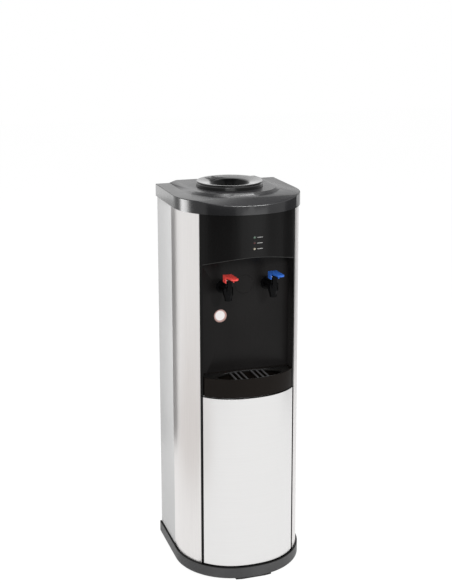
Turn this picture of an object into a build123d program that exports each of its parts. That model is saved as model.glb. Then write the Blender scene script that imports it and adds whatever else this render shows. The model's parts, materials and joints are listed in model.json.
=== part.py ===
from build123d import *
import os
from math import atan2, cos, degrees, radians, sin, sqrt, tan

# Free-standing bottle-top water dispenser. Millimetres, +Z up, front towards -Y.
# The origin is on the floor, under the middle of the whole outline.

# Cabinet
LID_WIDTH = 310.0
LID_DEPTH = 301.0
LID_TOP = 928.0
LID_SKIRT = 30.2
BOW_R = 258.3
CORNER_CX = 12.55
BEVEL_RUN = 53.5
BEVEL_DROP = 9.0
BEVEL_PAST = 10.0
PLATFORM_HALF = 103.0
PLATFORM_SETBACK = 82.0
PLATFORM_CORNER = 80.0
PLATFORM_RISE = 6.0
RAMP_RUN = 17.0
RISER_LEAN = 2.0
LID_FILLET = 2.0
FOOT_H = 3.0
BASE_H = 27.9
BASE_LEAD = 1.5
BASE_BACK = 0.7
BASE_WALL = 3.0
PANEL_INSET = 3.0
CORNER_WRAP = 37.5
PANEL_TUCK = 8.0
PANEL_RETURN = 10.0
SHEET = 1.0
PLASTIC = 2.5
FACE_GAP = 0.3

# Feet
SKID_WIDTH = 90.0
SKID_DEPTH = 36.0
REAR_FOOT_R = 18.0
REAR_FOOT_NECK_R = 12.6
REAR_FOOT_SIDE = 43.0
REAR_FOOT_BACK = 42.0

# Front panels, dispensing niche and drip tray
UPPER_H = 470.4
DOOR_GAP = 2.0
DECK_T = 2.0
FASCIA_GAP = 0.7
FASCIA_TUCK = 6.0
NICHE_RAIL = 5.5
NICHE_CLEAR = 26.0
ARCH_DROP = 149.5
ARCH_RISE = 19.0
BLANK_R = 23.0
BLANK_RIM = 1.6
BLANK_RISE = 0.8
TRAY_H = 46.4
TRAY_SIDE_GAP = 2.5
TRAY_WALL = 2.2
TRAY_LEDGE = 3.0
TRAY_REAR_GAP = 2.5
GRILLE_SINK = 2.0
GRILLE_T = 4.0
GRILLE_MARGIN = 6.5
SLOT_W = 9.2
RIB_WIDTH = 4.0
SIDE_SLOTS = 2
MIDDLE_WELL_W = 23.0
GRILLE_OPEN_W = 162.0

# Indicator lenses
LENS_R = 2.6
LENS_PROUD = 0.6
LENS_FIT = 0.1
HEATING_DROP = 83.7
COOLING_DROP = 96.5
POWER_DROP = 110.4
LED_BOARD_W = 24.0
LED_BOARD_MARGIN = 10.0
LED_BOARD_T = 1.6
SPACER_R = 2.5
LENS_LENGTH = 9.0

# Taps
TAP_X = 55.3
TAP_STANDOFF = 49.0
INLET_DROP = 213.0
SPOUT_DROP = 22.0
BARREL_R = 12.0
BARREL_RISE = 12.0
BARREL_FALL = 5.5
BARREL_SHOULDER = 3.0
SPOUT_R = 8.0
SPOUT_SWELL = 1.0
SPOUT_LIP = 7.3
SPOUT_BORE_R = 5.0
NECK_R = 7.8
NECK_RISE = 22.0
SHANK_R = 9.5
SHANK_TAIL = 11.0
FLANGE_R = 15.0
FLANGE_T = 4.0
WASHER_T = 2.0
NUT_R = 15.0
NUT_T = 8.0
NIPPLE_R = 4.5
NIPPLE_BORE_R = 3.2
NIPPLE_LENGTH = 12.0
STEM_R = 3.0
STEM_LAND_R = 5.4
STEM_LAND_T = 2.0
SPRING_WALL = 1.6
SPRING_LENGTH = 9.0
PIVOT_LEAD = 9.0
PIVOT_RISE = 7.0
PIN_R = 1.5
PIN_FIT = 0.05
LUG_R = 3.5
LUG_HALF = 5.0
CHEEK_T = 2.4
CHEEK_GAP = 0.6
CHEEK_DROP = 6.0
LEVER_T = 4.0
LEVER_RISE = 10.0
LEVER_SLOPE = 4.0
LEVER_HEEL = 6.0
LEVER_TIP_R = 8.5
LEVER_REACH = 27.5
STEM_SLOT = 7.0
STEM_SLOT_GAP = 0.45

# Bottle collar
COLLAR_BACK = 113.5
COLLAR_R = 81.0
COLLAR_RIM_R = 79.6
COLLAR_RISE = 13.0
COLLAR_WALL = 3.0
COLLAR_STEP = 1.0
COLLAR_HOLE_GAP = 1.0
COLLAR_SEAT = 3.0
COLLAR_UNDER = 5.0
MOUTH_R = 48.0
MOUTH_DROP = 4.5
MOUTH_FILLET = 12.0
THROAT_R = 29.5
THROAT_LENGTH = 20.0
CONE_DROP = 34.0

# Cold tank, its jacket and its cooler
SHELF_DROP = 205.0
SHELF_T = 1.5
TANK_R = 65.0
TANK_WALL = 1.0
TANK_LIP = 7.0
TANK_DROP = 15.0
JACKET_T = 18.0
JACKET_FLOOR = 17.0
JACKET_FIT = 0.3
SEAL_WIDTH = 5.0
OUTLET_X = 52.0
OUTLET_LEAD = 5.0
BLOCK_R = 25.0
MODULE_SIDE = 40.0
MODULE_T = 4.0
SINK_SIDE = 80.0
SINK_BASE_T = 6.0
SINK_FIN_H = 30.0
SINK_FIN_T = 1.6
SINK_FINS = 13
SINK_GAP = 8.0
STUD_R = 3.0
STUD_SPAN = 66.0
FAN_T = 25.0
FAN_BORE_R = 37.5
FAN_HUB_R = 14.0
FAN_BLADE_T = 1.5
FAN_BLADES = 7
FAN_BLADE_GAP = 1.5
FAN_PITCH = 40.0
FAN_SHAFT_R = 3.0
SPIDER_T = 3.0
SPIDER_ARM = 5.0

# Hot tank
HOT_R = 45.0
HOT_WALL = 1.2
HOT_HEADROOM = 42.4
HOT_JACKET_T = 12.0
HOT_JACKET_FLOOR = 12.0
BAND_T = 2.4
BAND_H = 40.0
BAND_BASE = 18.0
STAND_H = 15.0
STAND_T = 1.5
HOT_PORT_Z = 14.0
HOT_OUTLET = 25.0
THERMOSTAT_R = 8.0
THERMOSTAT_H = 7.0
THERMOSTAT_LEAD = 20.0

# Hoses
HOSE_WALL = 1.4
HOSE_FIT = 0.05
HOSE_BEND = 14.0
HOSE_RUN = 3.0
HOSE_SIDE_X = 92.0
HOSE_DROP_Y = 28.0

# Back panel, its service pocket and what sits there
POCKET_W = 156.0
POCKET_H = 84.0
POCKET_DEPTH = 14.0
POCKET_RISE = 8.0
SEAM_DROP = 8.0
VENT_W = 84.0
VENT_H = 5.0
VENT_PITCH = 14.0
VENT_ROWS = 10
VENT_RISE = 120.4
VENT_X = 62.0
SCREW_R = 3.6
SCREW_H = 2.0
SCREW_ROWS = 5
DRAIN_R = 7.0
DRAIN_FLANGE_R = 11.0
DRAIN_FLANGE_T = 2.0
DRAIN_STUB = 6.0
CAP_R = 9.0
CAP_H = 10.0
CAP_WALL = 1.9
SWITCH_W = 15.0
SWITCH_H = 21.0
SWITCH_PITCH = 24.0
SWITCH_X = 58.0
SWITCH_RIM = 2.0
SWITCH_BODY = 16.0
ROCKER_TILT = 8.0
ROCKER_GAP = 0.5
ROCKER_END_GAP = 1.5
TRUNNION_R = 1.5
INLET_W = 28.0
INLET_H = 20.0
INLET_X = 57.0
INLET_BODY = 18.0
INLET_RIM = 4.0
INLET_CAVITY = 14.0
BLADE_W = 2.0
BLADE_H = 4.0
BLADE_INSET = 3.5
POWER_BOX = (62.0, 26.0, 96.0)
POWER_BOX_SIDE = 16.0
POWER_BOX_DROP = 14.4

# Door, storage liner, hinge pins and push latch
DOOR_EDGE_GAP = 5.0
LINER_SIDE = 7.5
LINER_WALL = 2.0
LINER_BACK = 45.5
LINER_FLANGE = 6.0
LINER_GAP = 1.8
HINGE_IN = 6.0
HINGE_INSET = 8.4
KNUCKLE_R = 6.2
HINGE_PIN_R = 2.5
HINGE_PIN_UP = 14.0
LATCH_SIDE = 18.0
LATCH_W = 12.0
LATCH_H = 14.0
LATCH_L = 34.0
PLUNGER_R = 3.0
PLUNGER_L = 26.0

# Places worked out from the sizes above
back_y = (LID_DEPTH + LEVER_REACH) / 2
front_y = back_y - LID_DEPTH
bow_cy = front_y + BOW_R
corner_r = LID_WIDTH / 2 - CORNER_CX
panel_edge = LID_WIDTH / 2 - CORNER_WRAP
corner_cy = bow_cy - sqrt((BOW_R - corner_r) ** 2 - CORNER_CX**2)
corner_turn = degrees(atan2(bow_cy - corner_cy, CORNER_CX))
bow_share = CORNER_CX / (BOW_R - corner_r)

base_top = FOOT_H + BASE_H
skirt_z = LID_TOP - LID_SKIRT
panel_top = skirt_z + PANEL_TUCK
panel_rear = back_y - PANEL_INSET
side_inner = LID_WIDTH / 2 - PANEL_INSET - SHEET
plate_inner = panel_rear - SHEET
flange_inner = plate_inner - SHEET
face_inset = PANEL_INSET + FACE_GAP

door_top = LID_TOP - UPPER_H
door_bottom = base_top + DOOR_GAP
door_half = panel_edge - DOOR_EDGE_GAP
deck_z = door_top + DOOR_GAP
deck_top = deck_z + DECK_T
floor_top = deck_top + DECK_T
deck_inset = face_inset + PLASTIC
arch_end = LID_TOP - ARCH_DROP
inlet_z = LID_TOP - INLET_DROP
shelf_z = LID_TOP - SHELF_DROP
tank_top = LID_TOP - TANK_DROP
tray_top = deck_z + TRAY_H
grille_top = tray_top - GRILLE_SINK
vent_z = deck_top + VENT_RISE
lens_heights = {
    "lens_heating": LID_TOP - HEATING_DROP,
    "lens_cooling": LID_TOP - COOLING_DROP,
    "lens_power": LID_TOP - POWER_DROP,
}

bottle_y = back_y - COLLAR_BACK
jacket_r = TANK_R + JACKET_T
niche_half = panel_edge - NICHE_RAIL
niche_y = bottle_y - jacket_r - NICHE_CLEAR
niche_back = niche_y + PLASTIC
tap_y = niche_y - TAP_STANDOFF
tray_inset = face_inset
tray_half = niche_half - TRAY_SIDE_GAP
tray_rear = niche_y - TRAY_REAR_GAP
tray_z = floor_top + FACE_GAP
apron_z = deck_z + DECK_T / 2

platform_top = LID_TOP + PLATFORM_RISE
rim_z = platform_top + COLLAR_RISE
collar_under = LID_TOP - COLLAR_UNDER
hole_r = COLLAR_R - COLLAR_SEAT

neck_top = inlet_z + NECK_RISE
pivot_y = tap_y - PIVOT_LEAD
pivot_z = neck_top + PIVOT_RISE
lever_top = pivot_z + LEVER_RISE
lever_tip = front_y - LEVER_REACH
cheek_in = NECK_R + CHEEK_GAP
cheek_out = cheek_in + CHEEK_T

shelf_top = shelf_z + SHELF_T
tank_z = shelf_top + JACKET_FLOOR
sink_top = shelf_z - SINK_GAP
module_top = sink_top + MODULE_T
fin_bottom = sink_top - SINK_BASE_T - SINK_FIN_H
fan_z = fin_bottom - FAN_T
outlet_y = bottle_y - OUTLET_LEAD
feed_y = bottle_y + OUTLET_LEAD

hot_y = bottle_y
stand_top = deck_top + STAND_H
hot_z = stand_top + HOT_JACKET_FLOOR
hot_top = fan_z - HOT_HEADROOM
hot_jacket_in = HOT_R + BAND_T + JACKET_FIT
hot_jacket_r = hot_jacket_in + HOT_JACKET_T
port_z = hot_z + HOT_PORT_Z
hose_in = NIPPLE_R + HOSE_FIT
hose_out = hose_in + HOSE_WALL

pocket_z = deck_top + POCKET_RISE
pocket_face = panel_rear - POCKET_DEPTH
pocket_back = pocket_face - SHEET
switch_z = pocket_z + POCKET_H / 2


def front_at(x, inset):
    """Depth of the bowed front at x, for an outline drawn in by inset."""
    if abs(x) <= bow_share * (BOW_R - inset):
        return bow_cy - sqrt((BOW_R - inset) ** 2 - x**2)
    return corner_cy - sqrt((corner_r - inset) ** 2 - (abs(x) - CORNER_CX) ** 2)


def plan_outline(inset, rear, mode=Mode.ADD):
    """The cabinet's plan: straight sides, round front corners and a bowed front."""
    half = LID_WIDTH / 2 - inset
    corner = corner_r - inset
    with BuildLine() as edge:
        Line((-half, rear), (-half, corner_cy))
        CenterArc((-CORNER_CX, corner_cy), corner, 180, corner_turn)
        CenterArc((0, bow_cy), BOW_R - inset, 180 + corner_turn, 180 - 2 * corner_turn)
        CenterArc((CORNER_CX, corner_cy), corner, 360 - corner_turn, corner_turn)
        Line((half, corner_cy), (half, rear))
        Line((half, rear), (-half, rear))
    make_face(edge.edges(), mode=mode)


def keep_between(x0, x1, y0, y1, mode=Mode.INTERSECT):
    """A rectangle given by its corners, which cuts the sketch unless told to add to it."""
    with Locations(((x0 + x1) / 2, (y0 + y1) / 2)):
        Rectangle(x1 - x0, y1 - y0, mode=mode)


def front_band(outer, inner, half):
    """A strip of the bowed front between two insets, as wide as 2 * half."""
    plan_outline(outer, back_y)
    plan_outline(inner, back_y, Mode.SUBTRACT)
    keep_between(-half, half, front_y, back_y)


def front_region(inset, half, rear):
    """The plan behind the bowed front, cut to a width and a rear line."""
    plan_outline(inset, back_y)
    keep_between(-half, half, front_y, rear)


def upright(x, y):
    """A plane through (x, y) that shows X across and Z up, with its normal to the front."""
    return Plane(origin=(x, y, 0), x_dir=(1, 0, 0), z_dir=(0, -1, 0))


def side_view(x):
    """A plane at x that shows Y across and Z up, with its normal to +X."""
    return Plane(origin=(x, 0, 0), x_dir=(0, 1, 0), z_dir=(1, 0, 0))


def level(z):
    """A level plane at height z."""
    return Plane.XY.offset(z)


def turned(x, y, points):
    """Revolve a closed profile of (radius, height) points about the vertical through (x, y)."""
    with BuildSketch(upright(x, y)) as profile:
        with BuildLine() as edge:
            Polyline(*points, close=True)
        make_face(edge.edges())
    revolve(profile.sketch, axis=Axis((x, y, 0), (0, 0, 1)))


def tube(x, y, z0, z1, outer, inner):
    """A plain upright tube."""
    with BuildSketch(Plane(origin=(x, y, z0))) as ring:
        Circle(outer)
        Circle(inner, mode=Mode.SUBTRACT)
    extrude(ring.sketch, amount=z1 - z0)


def rod(x, y, z0, z1, radius, mode=Mode.ADD):
    """A plain upright rod or, subtracted, a hole."""
    with BuildSketch(Plane(origin=(x, y, z0))) as disc:
        Circle(radius)
    extrude(disc.sketch, amount=z1 - z0, mode=mode)


def level_rod(x, z, y0, y1, radius, mode=Mode.ADD):
    """A rod along Y from y0 back to y1 or, subtracted, a hole."""
    with BuildSketch(Plane(origin=(x, y0, z), x_dir=(1, 0, 0), z_dir=(0, 1, 0))) as disc:
        Circle(radius)
    extrude(disc.sketch, amount=y1 - y0, mode=mode)


def block(x0, x1, y0, y1, z0, z1, mode=Mode.ADD):
    """A rectangular block given by its corners."""
    with BuildSketch(level(z0)) as foot:
        keep_between(x0, x1, y0, y1, Mode.ADD)
    extrude(foot.sketch, amount=z1 - z0, mode=mode)


def hose(points):
    """A hose of the common bore along straight runs and tangent bends."""
    with BuildLine() as route:
        FilletPolyline(*points, radius=HOSE_BEND)
    start = Plane(origin=route.line @ 0, z_dir=route.line % 0)
    with BuildSketch(start) as ring:
        Circle(hose_out)
        Circle(hose_in, mode=Mode.SUBTRACT)
    sweep(ring.sketch, path=route.line)


def arch_shape(half, foot, grow):
    """The niche's front view: upright sides under a shallow arch."""
    with BuildLine() as edge:
        ThreePointArc(
            (-half, arch_end + grow), (0, arch_end + ARCH_RISE + grow), (half, arch_end + grow)
        )
        Polyline((half, arch_end + grow), (half, foot), (-half, foot), (-half, arch_end + grow))
    make_face(edge.edges())


os.makedirs("parts", exist_ok=True)


def platform_outline(side_grow, front_grow):
    half = PLATFORM_HALF + side_grow
    lead = front_y + PLATFORM_SETBACK - front_grow
    turn = PLATFORM_CORNER + side_grow
    slant = turn * (1 - sqrt(0.5))
    with BuildLine() as edge:
        Line((-half, back_y), (-half, lead + turn))
        ThreePointArc((-half, lead + turn), (slant - half, lead + slant), (turn - half, lead))
        Line((turn - half, lead), (half - turn, lead))
        ThreePointArc((half - turn, lead), (half - slant, lead + slant), (half, lead + turn))
        Line((half, lead + turn), (half, back_y))
        Line((half, back_y), (-half, back_y))
    make_face(edge.edges())


def save(piece, name):
    """Label a finished piece and write it."""
    piece.part.label = name
    export_step(piece.part, f"parts/{name}.step")


# Plinth, skid and rear feet

with BuildPart() as base_plinth:
    with BuildSketch(level(FOOT_H)):
        plan_outline(-BASE_LEAD, back_y - BASE_BACK)
    extrude(amount=BASE_H)
    with BuildSketch(level(FOOT_H)) as underside:
        plan_outline(BASE_WALL - BASE_LEAD, back_y - BASE_BACK - BASE_WALL)
    extrude(underside.sketch, amount=BASE_H - BASE_WALL, mode=Mode.SUBTRACT)
save(base_plinth, "base_plinth")

plinth_under = base_top - BASE_WALL

with BuildPart() as front_skid:
    with BuildSketch(level(0)):
        front_region(-BASE_LEAD, SKID_WIDTH / 2, front_y + SKID_DEPTH)
    extrude(amount=FOOT_H)
    with BuildSketch(level(FOOT_H)):
        front_region(BASE_WALL + FACE_GAP - BASE_LEAD, SKID_WIDTH / 2, front_y + SKID_DEPTH)
    extrude(amount=plinth_under - FOOT_H)
save(front_skid, "front_skid")

with BuildPart() as rear_feet:
    foot_x = LID_WIDTH / 2 - REAR_FOOT_SIDE
    for x in (-foot_x, foot_x):
        foot_y = back_y - REAR_FOOT_BACK
        turned(x, foot_y, [
            (0, 0), (REAR_FOOT_R, 0), (REAR_FOOT_R, FOOT_H),
            (REAR_FOOT_NECK_R, plinth_under), (0, plinth_under),
        ])
save(rear_feet, "rear_feet")

# Side panels, back panel and its screws

for side, name in ((-1, "side_panel_left"), (1, "side_panel_right")):
    edge_y = front_at(panel_edge, PANEL_INSET)
    with BuildPart() as side_panel:
        with BuildSketch(level(base_top)) as sheet:
            plan_outline(PANEL_INSET, panel_rear)
            plan_outline(PANEL_INSET + SHEET, panel_rear, Mode.SUBTRACT)
            reach = sorted((side * panel_edge, side * LID_WIDTH))
            keep_between(*reach, front_y, back_y)
            fold = sorted((side * panel_edge, side * (panel_edge + SHEET)))
            keep_between(*fold, edge_y + SHEET / 2, edge_y + PANEL_RETURN, Mode.ADD)
            lap = sorted((side * (side_inner - PANEL_RETURN), side * (side_inner + SHEET / 2)))
            keep_between(*lap, flange_inner, plate_inner, Mode.ADD)
        extrude(sheet.sketch, amount=panel_top - base_top)
    save(side_panel, name)

with BuildPart() as back_panel:
    plate_half = side_inner - FACE_GAP
    block(-plate_half, plate_half, plate_inner, panel_rear, base_top, panel_top)
    pocket_half = POCKET_W / 2
    block(
        -pocket_half - SHEET, pocket_half + SHEET, pocket_back, plate_inner,
        pocket_z - SHEET, pocket_z + POCKET_H + SHEET,
    )
    block(
        -pocket_half, pocket_half, pocket_face, panel_rear,
        pocket_z, pocket_z + POCKET_H, Mode.SUBTRACT,
    )
    vent_mid = vent_z + VENT_PITCH * (VENT_ROWS - 1) / 2
    with BuildSketch(upright(0, panel_rear)) as vents:
        with Locations((0, vent_mid)):
            with GridLocations(2 * VENT_X, VENT_PITCH, 2, VENT_ROWS):
                SlotOverall(VENT_W, VENT_H)
    extrude(vents.sketch, amount=SHEET, mode=Mode.SUBTRACT)
    for seam_z in (deck_z - SEAM_DROP, (pocket_z + POCKET_H + vent_z) / 2):
        block(-plate_half, plate_half, plate_inner, panel_rear, seam_z, seam_z + FACE_GAP, Mode.SUBTRACT)
    level_rod(0, port_z, pocket_back, pocket_face, DRAIN_R + FACE_GAP, Mode.SUBTRACT)
    for x in (SWITCH_X, SWITCH_X - SWITCH_PITCH):
        block(
            x - SWITCH_W / 2, x + SWITCH_W / 2, pocket_back, pocket_face,
            switch_z - SWITCH_H / 2, switch_z + SWITCH_H / 2, Mode.SUBTRACT,
        )
    block(
        -INLET_X - INLET_W / 2, -INLET_X + INLET_W / 2, pocket_back, pocket_face,
        switch_z - INLET_H / 2, switch_z + INLET_H / 2, Mode.SUBTRACT,
    )
save(back_panel, "back_panel")

with BuildPart() as back_screws:
    screw_x = side_inner - PANEL_RETURN / 2 - FACE_GAP
    screw_step = (skirt_z - base_top) / SCREW_ROWS
    for row in range(SCREW_ROWS):
        for x in (-screw_x, screw_x):
            z = base_top + screw_step * (row + 0.5)
            level_rod(x, z, panel_rear, panel_rear + SCREW_H, SCREW_R)
save(back_screws, "back_screws")

# Lid and bottle collar

with BuildPart() as top_cover:
    with BuildSketch(level(skirt_z)):
        plan_outline(0, back_y)
    extrude(amount=LID_SKIRT)
    bevel_y = front_y + BEVEL_RUN
    past = BEVEL_RUN + BEVEL_PAST
    with BuildSketch(side_view(0)) as bevel:
        with BuildLine() as wedge:
            Polyline(
                (bevel_y, LID_TOP), (bevel_y - past, LID_TOP - BEVEL_DROP * past / BEVEL_RUN),
                (bevel_y - past, LID_TOP + BEVEL_DROP), (bevel_y, LID_TOP + BEVEL_DROP), close=True,
            )
        make_face(wedge.edges())
    extrude(bevel.sketch, amount=LID_WIDTH, both=True, mode=Mode.SUBTRACT)
    rim_edges = [
        e for e in top_cover.edges()
        if e.center().Z > LID_TOP - LID_SKIRT / 2 + LID_FILLET and abs(e.center().Y - bevel_y) > LID_FILLET
    ]
    fillet(rim_edges, LID_FILLET)
    with BuildSketch(level(LID_TOP)) as platform_foot:
        platform_outline(RAMP_RUN, RISER_LEAN)
    with BuildSketch(level(platform_top)) as platform_head:
        platform_outline(0, 0)
    loft([platform_foot.sketch, platform_head.sketch])
    with BuildSketch(level(skirt_z)) as hollow_front:
        plan_outline(PLASTIC, back_y - PLASTIC)
    hollow_top = LID_TOP - BEVEL_DROP - PLASTIC
    extrude(hollow_front.sketch, amount=hollow_top - skirt_z, mode=Mode.SUBTRACT)
    with BuildSketch(level(hollow_top)) as hollow_rear:
        plan_outline(PLASTIC, back_y - PLASTIC)
        keep_between(-LID_WIDTH, LID_WIDTH, bevel_y, back_y)
    extrude(hollow_rear.sketch, amount=LID_TOP - PLASTIC - hollow_top, mode=Mode.SUBTRACT)
    with BuildSketch(level(LID_TOP - PLASTIC)) as hollow_platform:
        platform_outline(-PLASTIC, -PLASTIC)
        keep_between(-LID_WIDTH, LID_WIDTH, front_y, back_y - PLASTIC)
    extrude(hollow_platform.sketch, amount=PLATFORM_RISE, mode=Mode.SUBTRACT)
    rod(0, bottle_y, LID_TOP - PLASTIC, platform_top, hole_r, Mode.SUBTRACT)
save(top_cover, "top_cover")

throat_top = rim_z - CONE_DROP
throat_z = throat_top - THROAT_LENGTH
spigot_r = hole_r - COLLAR_HOLE_GAP

with BuildPart() as bottle_collar:
    lip = (COLLAR_RIM_R - COLLAR_WALL, rim_z)
    throat = (THROAT_R, throat_top)
    with BuildSketch(upright(0, bottle_y)) as collar_profile:
        with BuildLine() as collar_edge:
            FilletPolyline(lip, (MOUTH_R, rim_z - MOUTH_DROP), throat, radius=MOUTH_FILLET)
            Polyline(
                throat,
                (THROAT_R, throat_z),
                (THROAT_R + COLLAR_WALL, throat_z),
                (THROAT_R + COLLAR_WALL, throat_top - COLLAR_WALL),
                (TANK_R - SEAL_WIDTH, collar_under),
                (spigot_r, collar_under),
                (spigot_r, platform_top),
                (COLLAR_R, platform_top),
                (COLLAR_RIM_R - COLLAR_STEP, rim_z - COLLAR_WALL - COLLAR_STEP),
                (COLLAR_RIM_R, rim_z - COLLAR_WALL),
                (COLLAR_RIM_R, rim_z),
                lip,
            )
        make_face(collar_edge.edges())
    revolve(collar_profile.sketch, axis=Axis((0, bottle_y, 0), (0, 0, 1)))
save(bottle_collar, "bottle_collar")

# Front fascia, its lenses and their board

with BuildPart() as front_fascia:
    with BuildSketch(level(deck_z)) as band:
        front_band(face_inset, face_inset + PLASTIC, panel_edge - FASCIA_GAP)
    extrude(band.sketch, amount=skirt_z + FASCIA_TUCK - deck_z)
    with BuildSketch(upright(0, back_y)) as mouth:
        arch_shape(niche_half, 0, 0)
    extrude(mouth.sketch, amount=2 * LID_DEPTH, mode=Mode.SUBTRACT)
    for z in lens_heights.values():
        level_rod(0, z, front_y, front_y + face_inset + 2 * PLASTIC, LENS_R + LENS_FIT, Mode.SUBTRACT)
save(front_fascia, "front_fascia")

lens_y = front_y + face_inset - LENS_PROUD
board_y = lens_y + LENS_LENGTH

for name, z in lens_heights.items():
    with BuildPart() as lens:
        level_rod(0, z, lens_y, board_y, LENS_R)
        fillet(lens.edges().group_by(Axis.Y)[0], LENS_PROUD)
    save(lens, name)

with BuildPart() as led_board:
    low = min(lens_heights.values()) - LED_BOARD_MARGIN
    high = max(lens_heights.values()) + LED_BOARD_MARGIN
    half = LED_BOARD_W / 2
    block(-half, half, board_y, board_y + LED_BOARD_T, low, high)
    for z in (low + SPACER_R, high - SPACER_R):
        for x in (SPACER_R - half, half - SPACER_R):
            level_rod(x, z, front_at(x, face_inset + PLASTIC), board_y, SPACER_R)
    plan_cut = face_inset + PLASTIC
    with BuildSketch(level(low)) as behind_fascia:
        plan_outline(plan_cut, back_y)
    extrude(behind_fascia.sketch, amount=high - low, mode=Mode.INTERSECT)
save(led_board, "led_board")

# Dispensing niche with its arch, floor and the ring of the blanked centre tap

with BuildPart() as dispense_niche:
    with BuildSketch(upright(0, niche_back)) as shell:
        arch_shape(niche_half + PLASTIC, deck_top, PLASTIC)
    extrude(shell.sketch, amount=LID_DEPTH)
    with BuildSketch(upright(0, niche_y)) as cavity:
        arch_shape(niche_half, floor_top, 0)
    extrude(cavity.sketch, amount=LID_DEPTH, mode=Mode.SUBTRACT)
    with BuildSketch(level(deck_top)) as behind_front:
        plan_outline(deck_inset, back_y)
    extrude(behind_front.sketch, amount=LID_TOP, mode=Mode.INTERSECT)
    with BuildSketch(upright(0, niche_y)) as blank:
        with Locations((0, inlet_z)):
            Circle(BLANK_R)
            Circle(BLANK_R - BLANK_RIM, mode=Mode.SUBTRACT)
    extrude(blank.sketch, amount=BLANK_RISE)
    for x in (-TAP_X, TAP_X):
        level_rod(x, inlet_z, niche_y, niche_back, SHANK_R + FACE_GAP, Mode.SUBTRACT)
save(dispense_niche, "dispense_niche")

# Drip tray and its grille

with BuildPart() as drip_tray:
    with BuildSketch(level(tray_z)) as basin:
        front_region(tray_inset, tray_half, tray_rear)
    basin_top = grille_top + TRAY_WALL / 2
    extrude(basin.sketch, amount=basin_top - tray_z)
    with BuildSketch(level(apron_z)) as apron:
        front_band(tray_inset, tray_inset + TRAY_WALL, tray_half)
    extrude(apron.sketch, amount=tray_top - apron_z)
    lower = TRAY_WALL + TRAY_LEDGE
    with BuildSketch(level(tray_z + TRAY_WALL)) as well:
        front_region(tray_inset + lower, tray_half - lower, tray_rear - lower)
    extrude(well.sketch, amount=tray_top - tray_z, mode=Mode.SUBTRACT)
    with BuildSketch(level(grille_top - GRILLE_T)) as ledge:
        front_region(tray_inset + TRAY_WALL, tray_half - TRAY_WALL, tray_rear - TRAY_WALL)
    extrude(ledge.sketch, amount=tray_top, mode=Mode.SUBTRACT)
save(drip_tray, "drip_tray")

with BuildPart() as drip_grille:
    grille_in = TRAY_WALL + FACE_GAP
    with BuildSketch(level(grille_top - GRILLE_T)) as sheet:
        front_region(tray_inset + grille_in, tray_half - grille_in, tray_rear - grille_in)
    extrude(sheet.sketch, amount=GRILLE_T)
    slot_rear = tray_rear - GRILLE_MARGIN
    slot_front = front_at(0, tray_inset + GRILLE_MARGIN)
    with BuildSketch(level(grille_top - GRILLE_T)) as slots:
        with Locations((0, (slot_front + slot_rear) / 2)):
            Ellipse(GRILLE_OPEN_W / 2, (slot_rear - slot_front) / 2)
        for rib in range(SIDE_SLOTS + 1):
            rib_x = MIDDLE_WELL_W / 2 + rib * (SLOT_W + RIB_WIDTH)
            for x in (rib_x, -rib_x - RIB_WIDTH):
                with Locations((x, slot_front)):
                    Rectangle(RIB_WIDTH, slot_rear - slot_front, align=Align.MIN, mode=Mode.SUBTRACT)
    extrude(slots.sketch, amount=GRILLE_T, mode=Mode.SUBTRACT)
save(drip_grille, "drip_grille")

# Middle deck over the storage cabinet

with BuildPart() as middle_deck:
    with BuildSketch(level(deck_z)) as plate:
        plan_outline(deck_inset, flange_inner - FACE_GAP)
        for side in (-1, 1):
            strip = sorted((side * (side_inner - deck_inset), side * side_inner))
            keep_between(*strip, corner_cy, flange_inner - FACE_GAP, Mode.ADD)
            notch = sorted((side * (panel_edge - FACE_GAP), side * (panel_edge + SHEET + FACE_GAP)))
            notch_end = front_at(panel_edge, PANEL_INSET) + PANEL_RETURN + FACE_GAP
            keep_between(*notch, front_y, notch_end, Mode.SUBTRACT)
    extrude(plate.sketch, amount=DECK_T)
save(middle_deck, "middle_deck")

# Door, storage liner, hinge pins and push latch

hinge_x = door_half - HINGE_IN
hinge_y = front_at(hinge_x, PANEL_INSET) + HINGE_INSET
door_inner = hinge_y + KNUCKLE_R
liner_front = door_inner + LINER_GAP
liner_rear = panel_rear - LINER_BACK
liner_half = panel_edge - LINER_SIDE
latch_x = liner_half - LATCH_SIDE
door_h = door_top - door_bottom
bore_depth = HINGE_PIN_UP - DOOR_GAP + FACE_GAP

with BuildPart() as door_panel:
    with BuildSketch(level(door_bottom)) as skin:
        front_band(PANEL_INSET, PANEL_INSET + SHEET, door_half)
    extrude(skin.sketch, amount=door_h)
save(door_panel, "door_panel")

with BuildPart() as door_liner:
    with BuildSketch(level(door_bottom)) as core:
        plan_outline(PANEL_INSET + SHEET, back_y)
        keep_between(-door_half, hinge_x, front_y, door_inner)
        with Locations((hinge_x, hinge_y)):
            Circle(KNUCKLE_R)
        plan_outline(PANEL_INSET + SHEET, back_y, Mode.INTERSECT)
    extrude(core.sketch, amount=door_h)
    block(
        PLASTIC - door_half, hinge_x - KNUCKLE_R - PLASTIC, front_y, door_inner - PLASTIC,
        door_bottom + PLASTIC, door_top - PLASTIC, Mode.SUBTRACT,
    )
    for z0, z1 in ((door_bottom, door_bottom + bore_depth), (door_top - bore_depth, door_top)):
        rod(hinge_x, hinge_y, z0, z1, HINGE_PIN_R + PIN_FIT, Mode.SUBTRACT)
save(door_liner, "door_liner")

with BuildPart() as hinge_pins:
    rod(hinge_x, hinge_y, base_top, base_top + HINGE_PIN_UP, HINGE_PIN_R)
    rod(hinge_x, hinge_y, deck_z - HINGE_PIN_UP, deck_z, HINGE_PIN_R)
save(hinge_pins, "hinge_pins")

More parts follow.
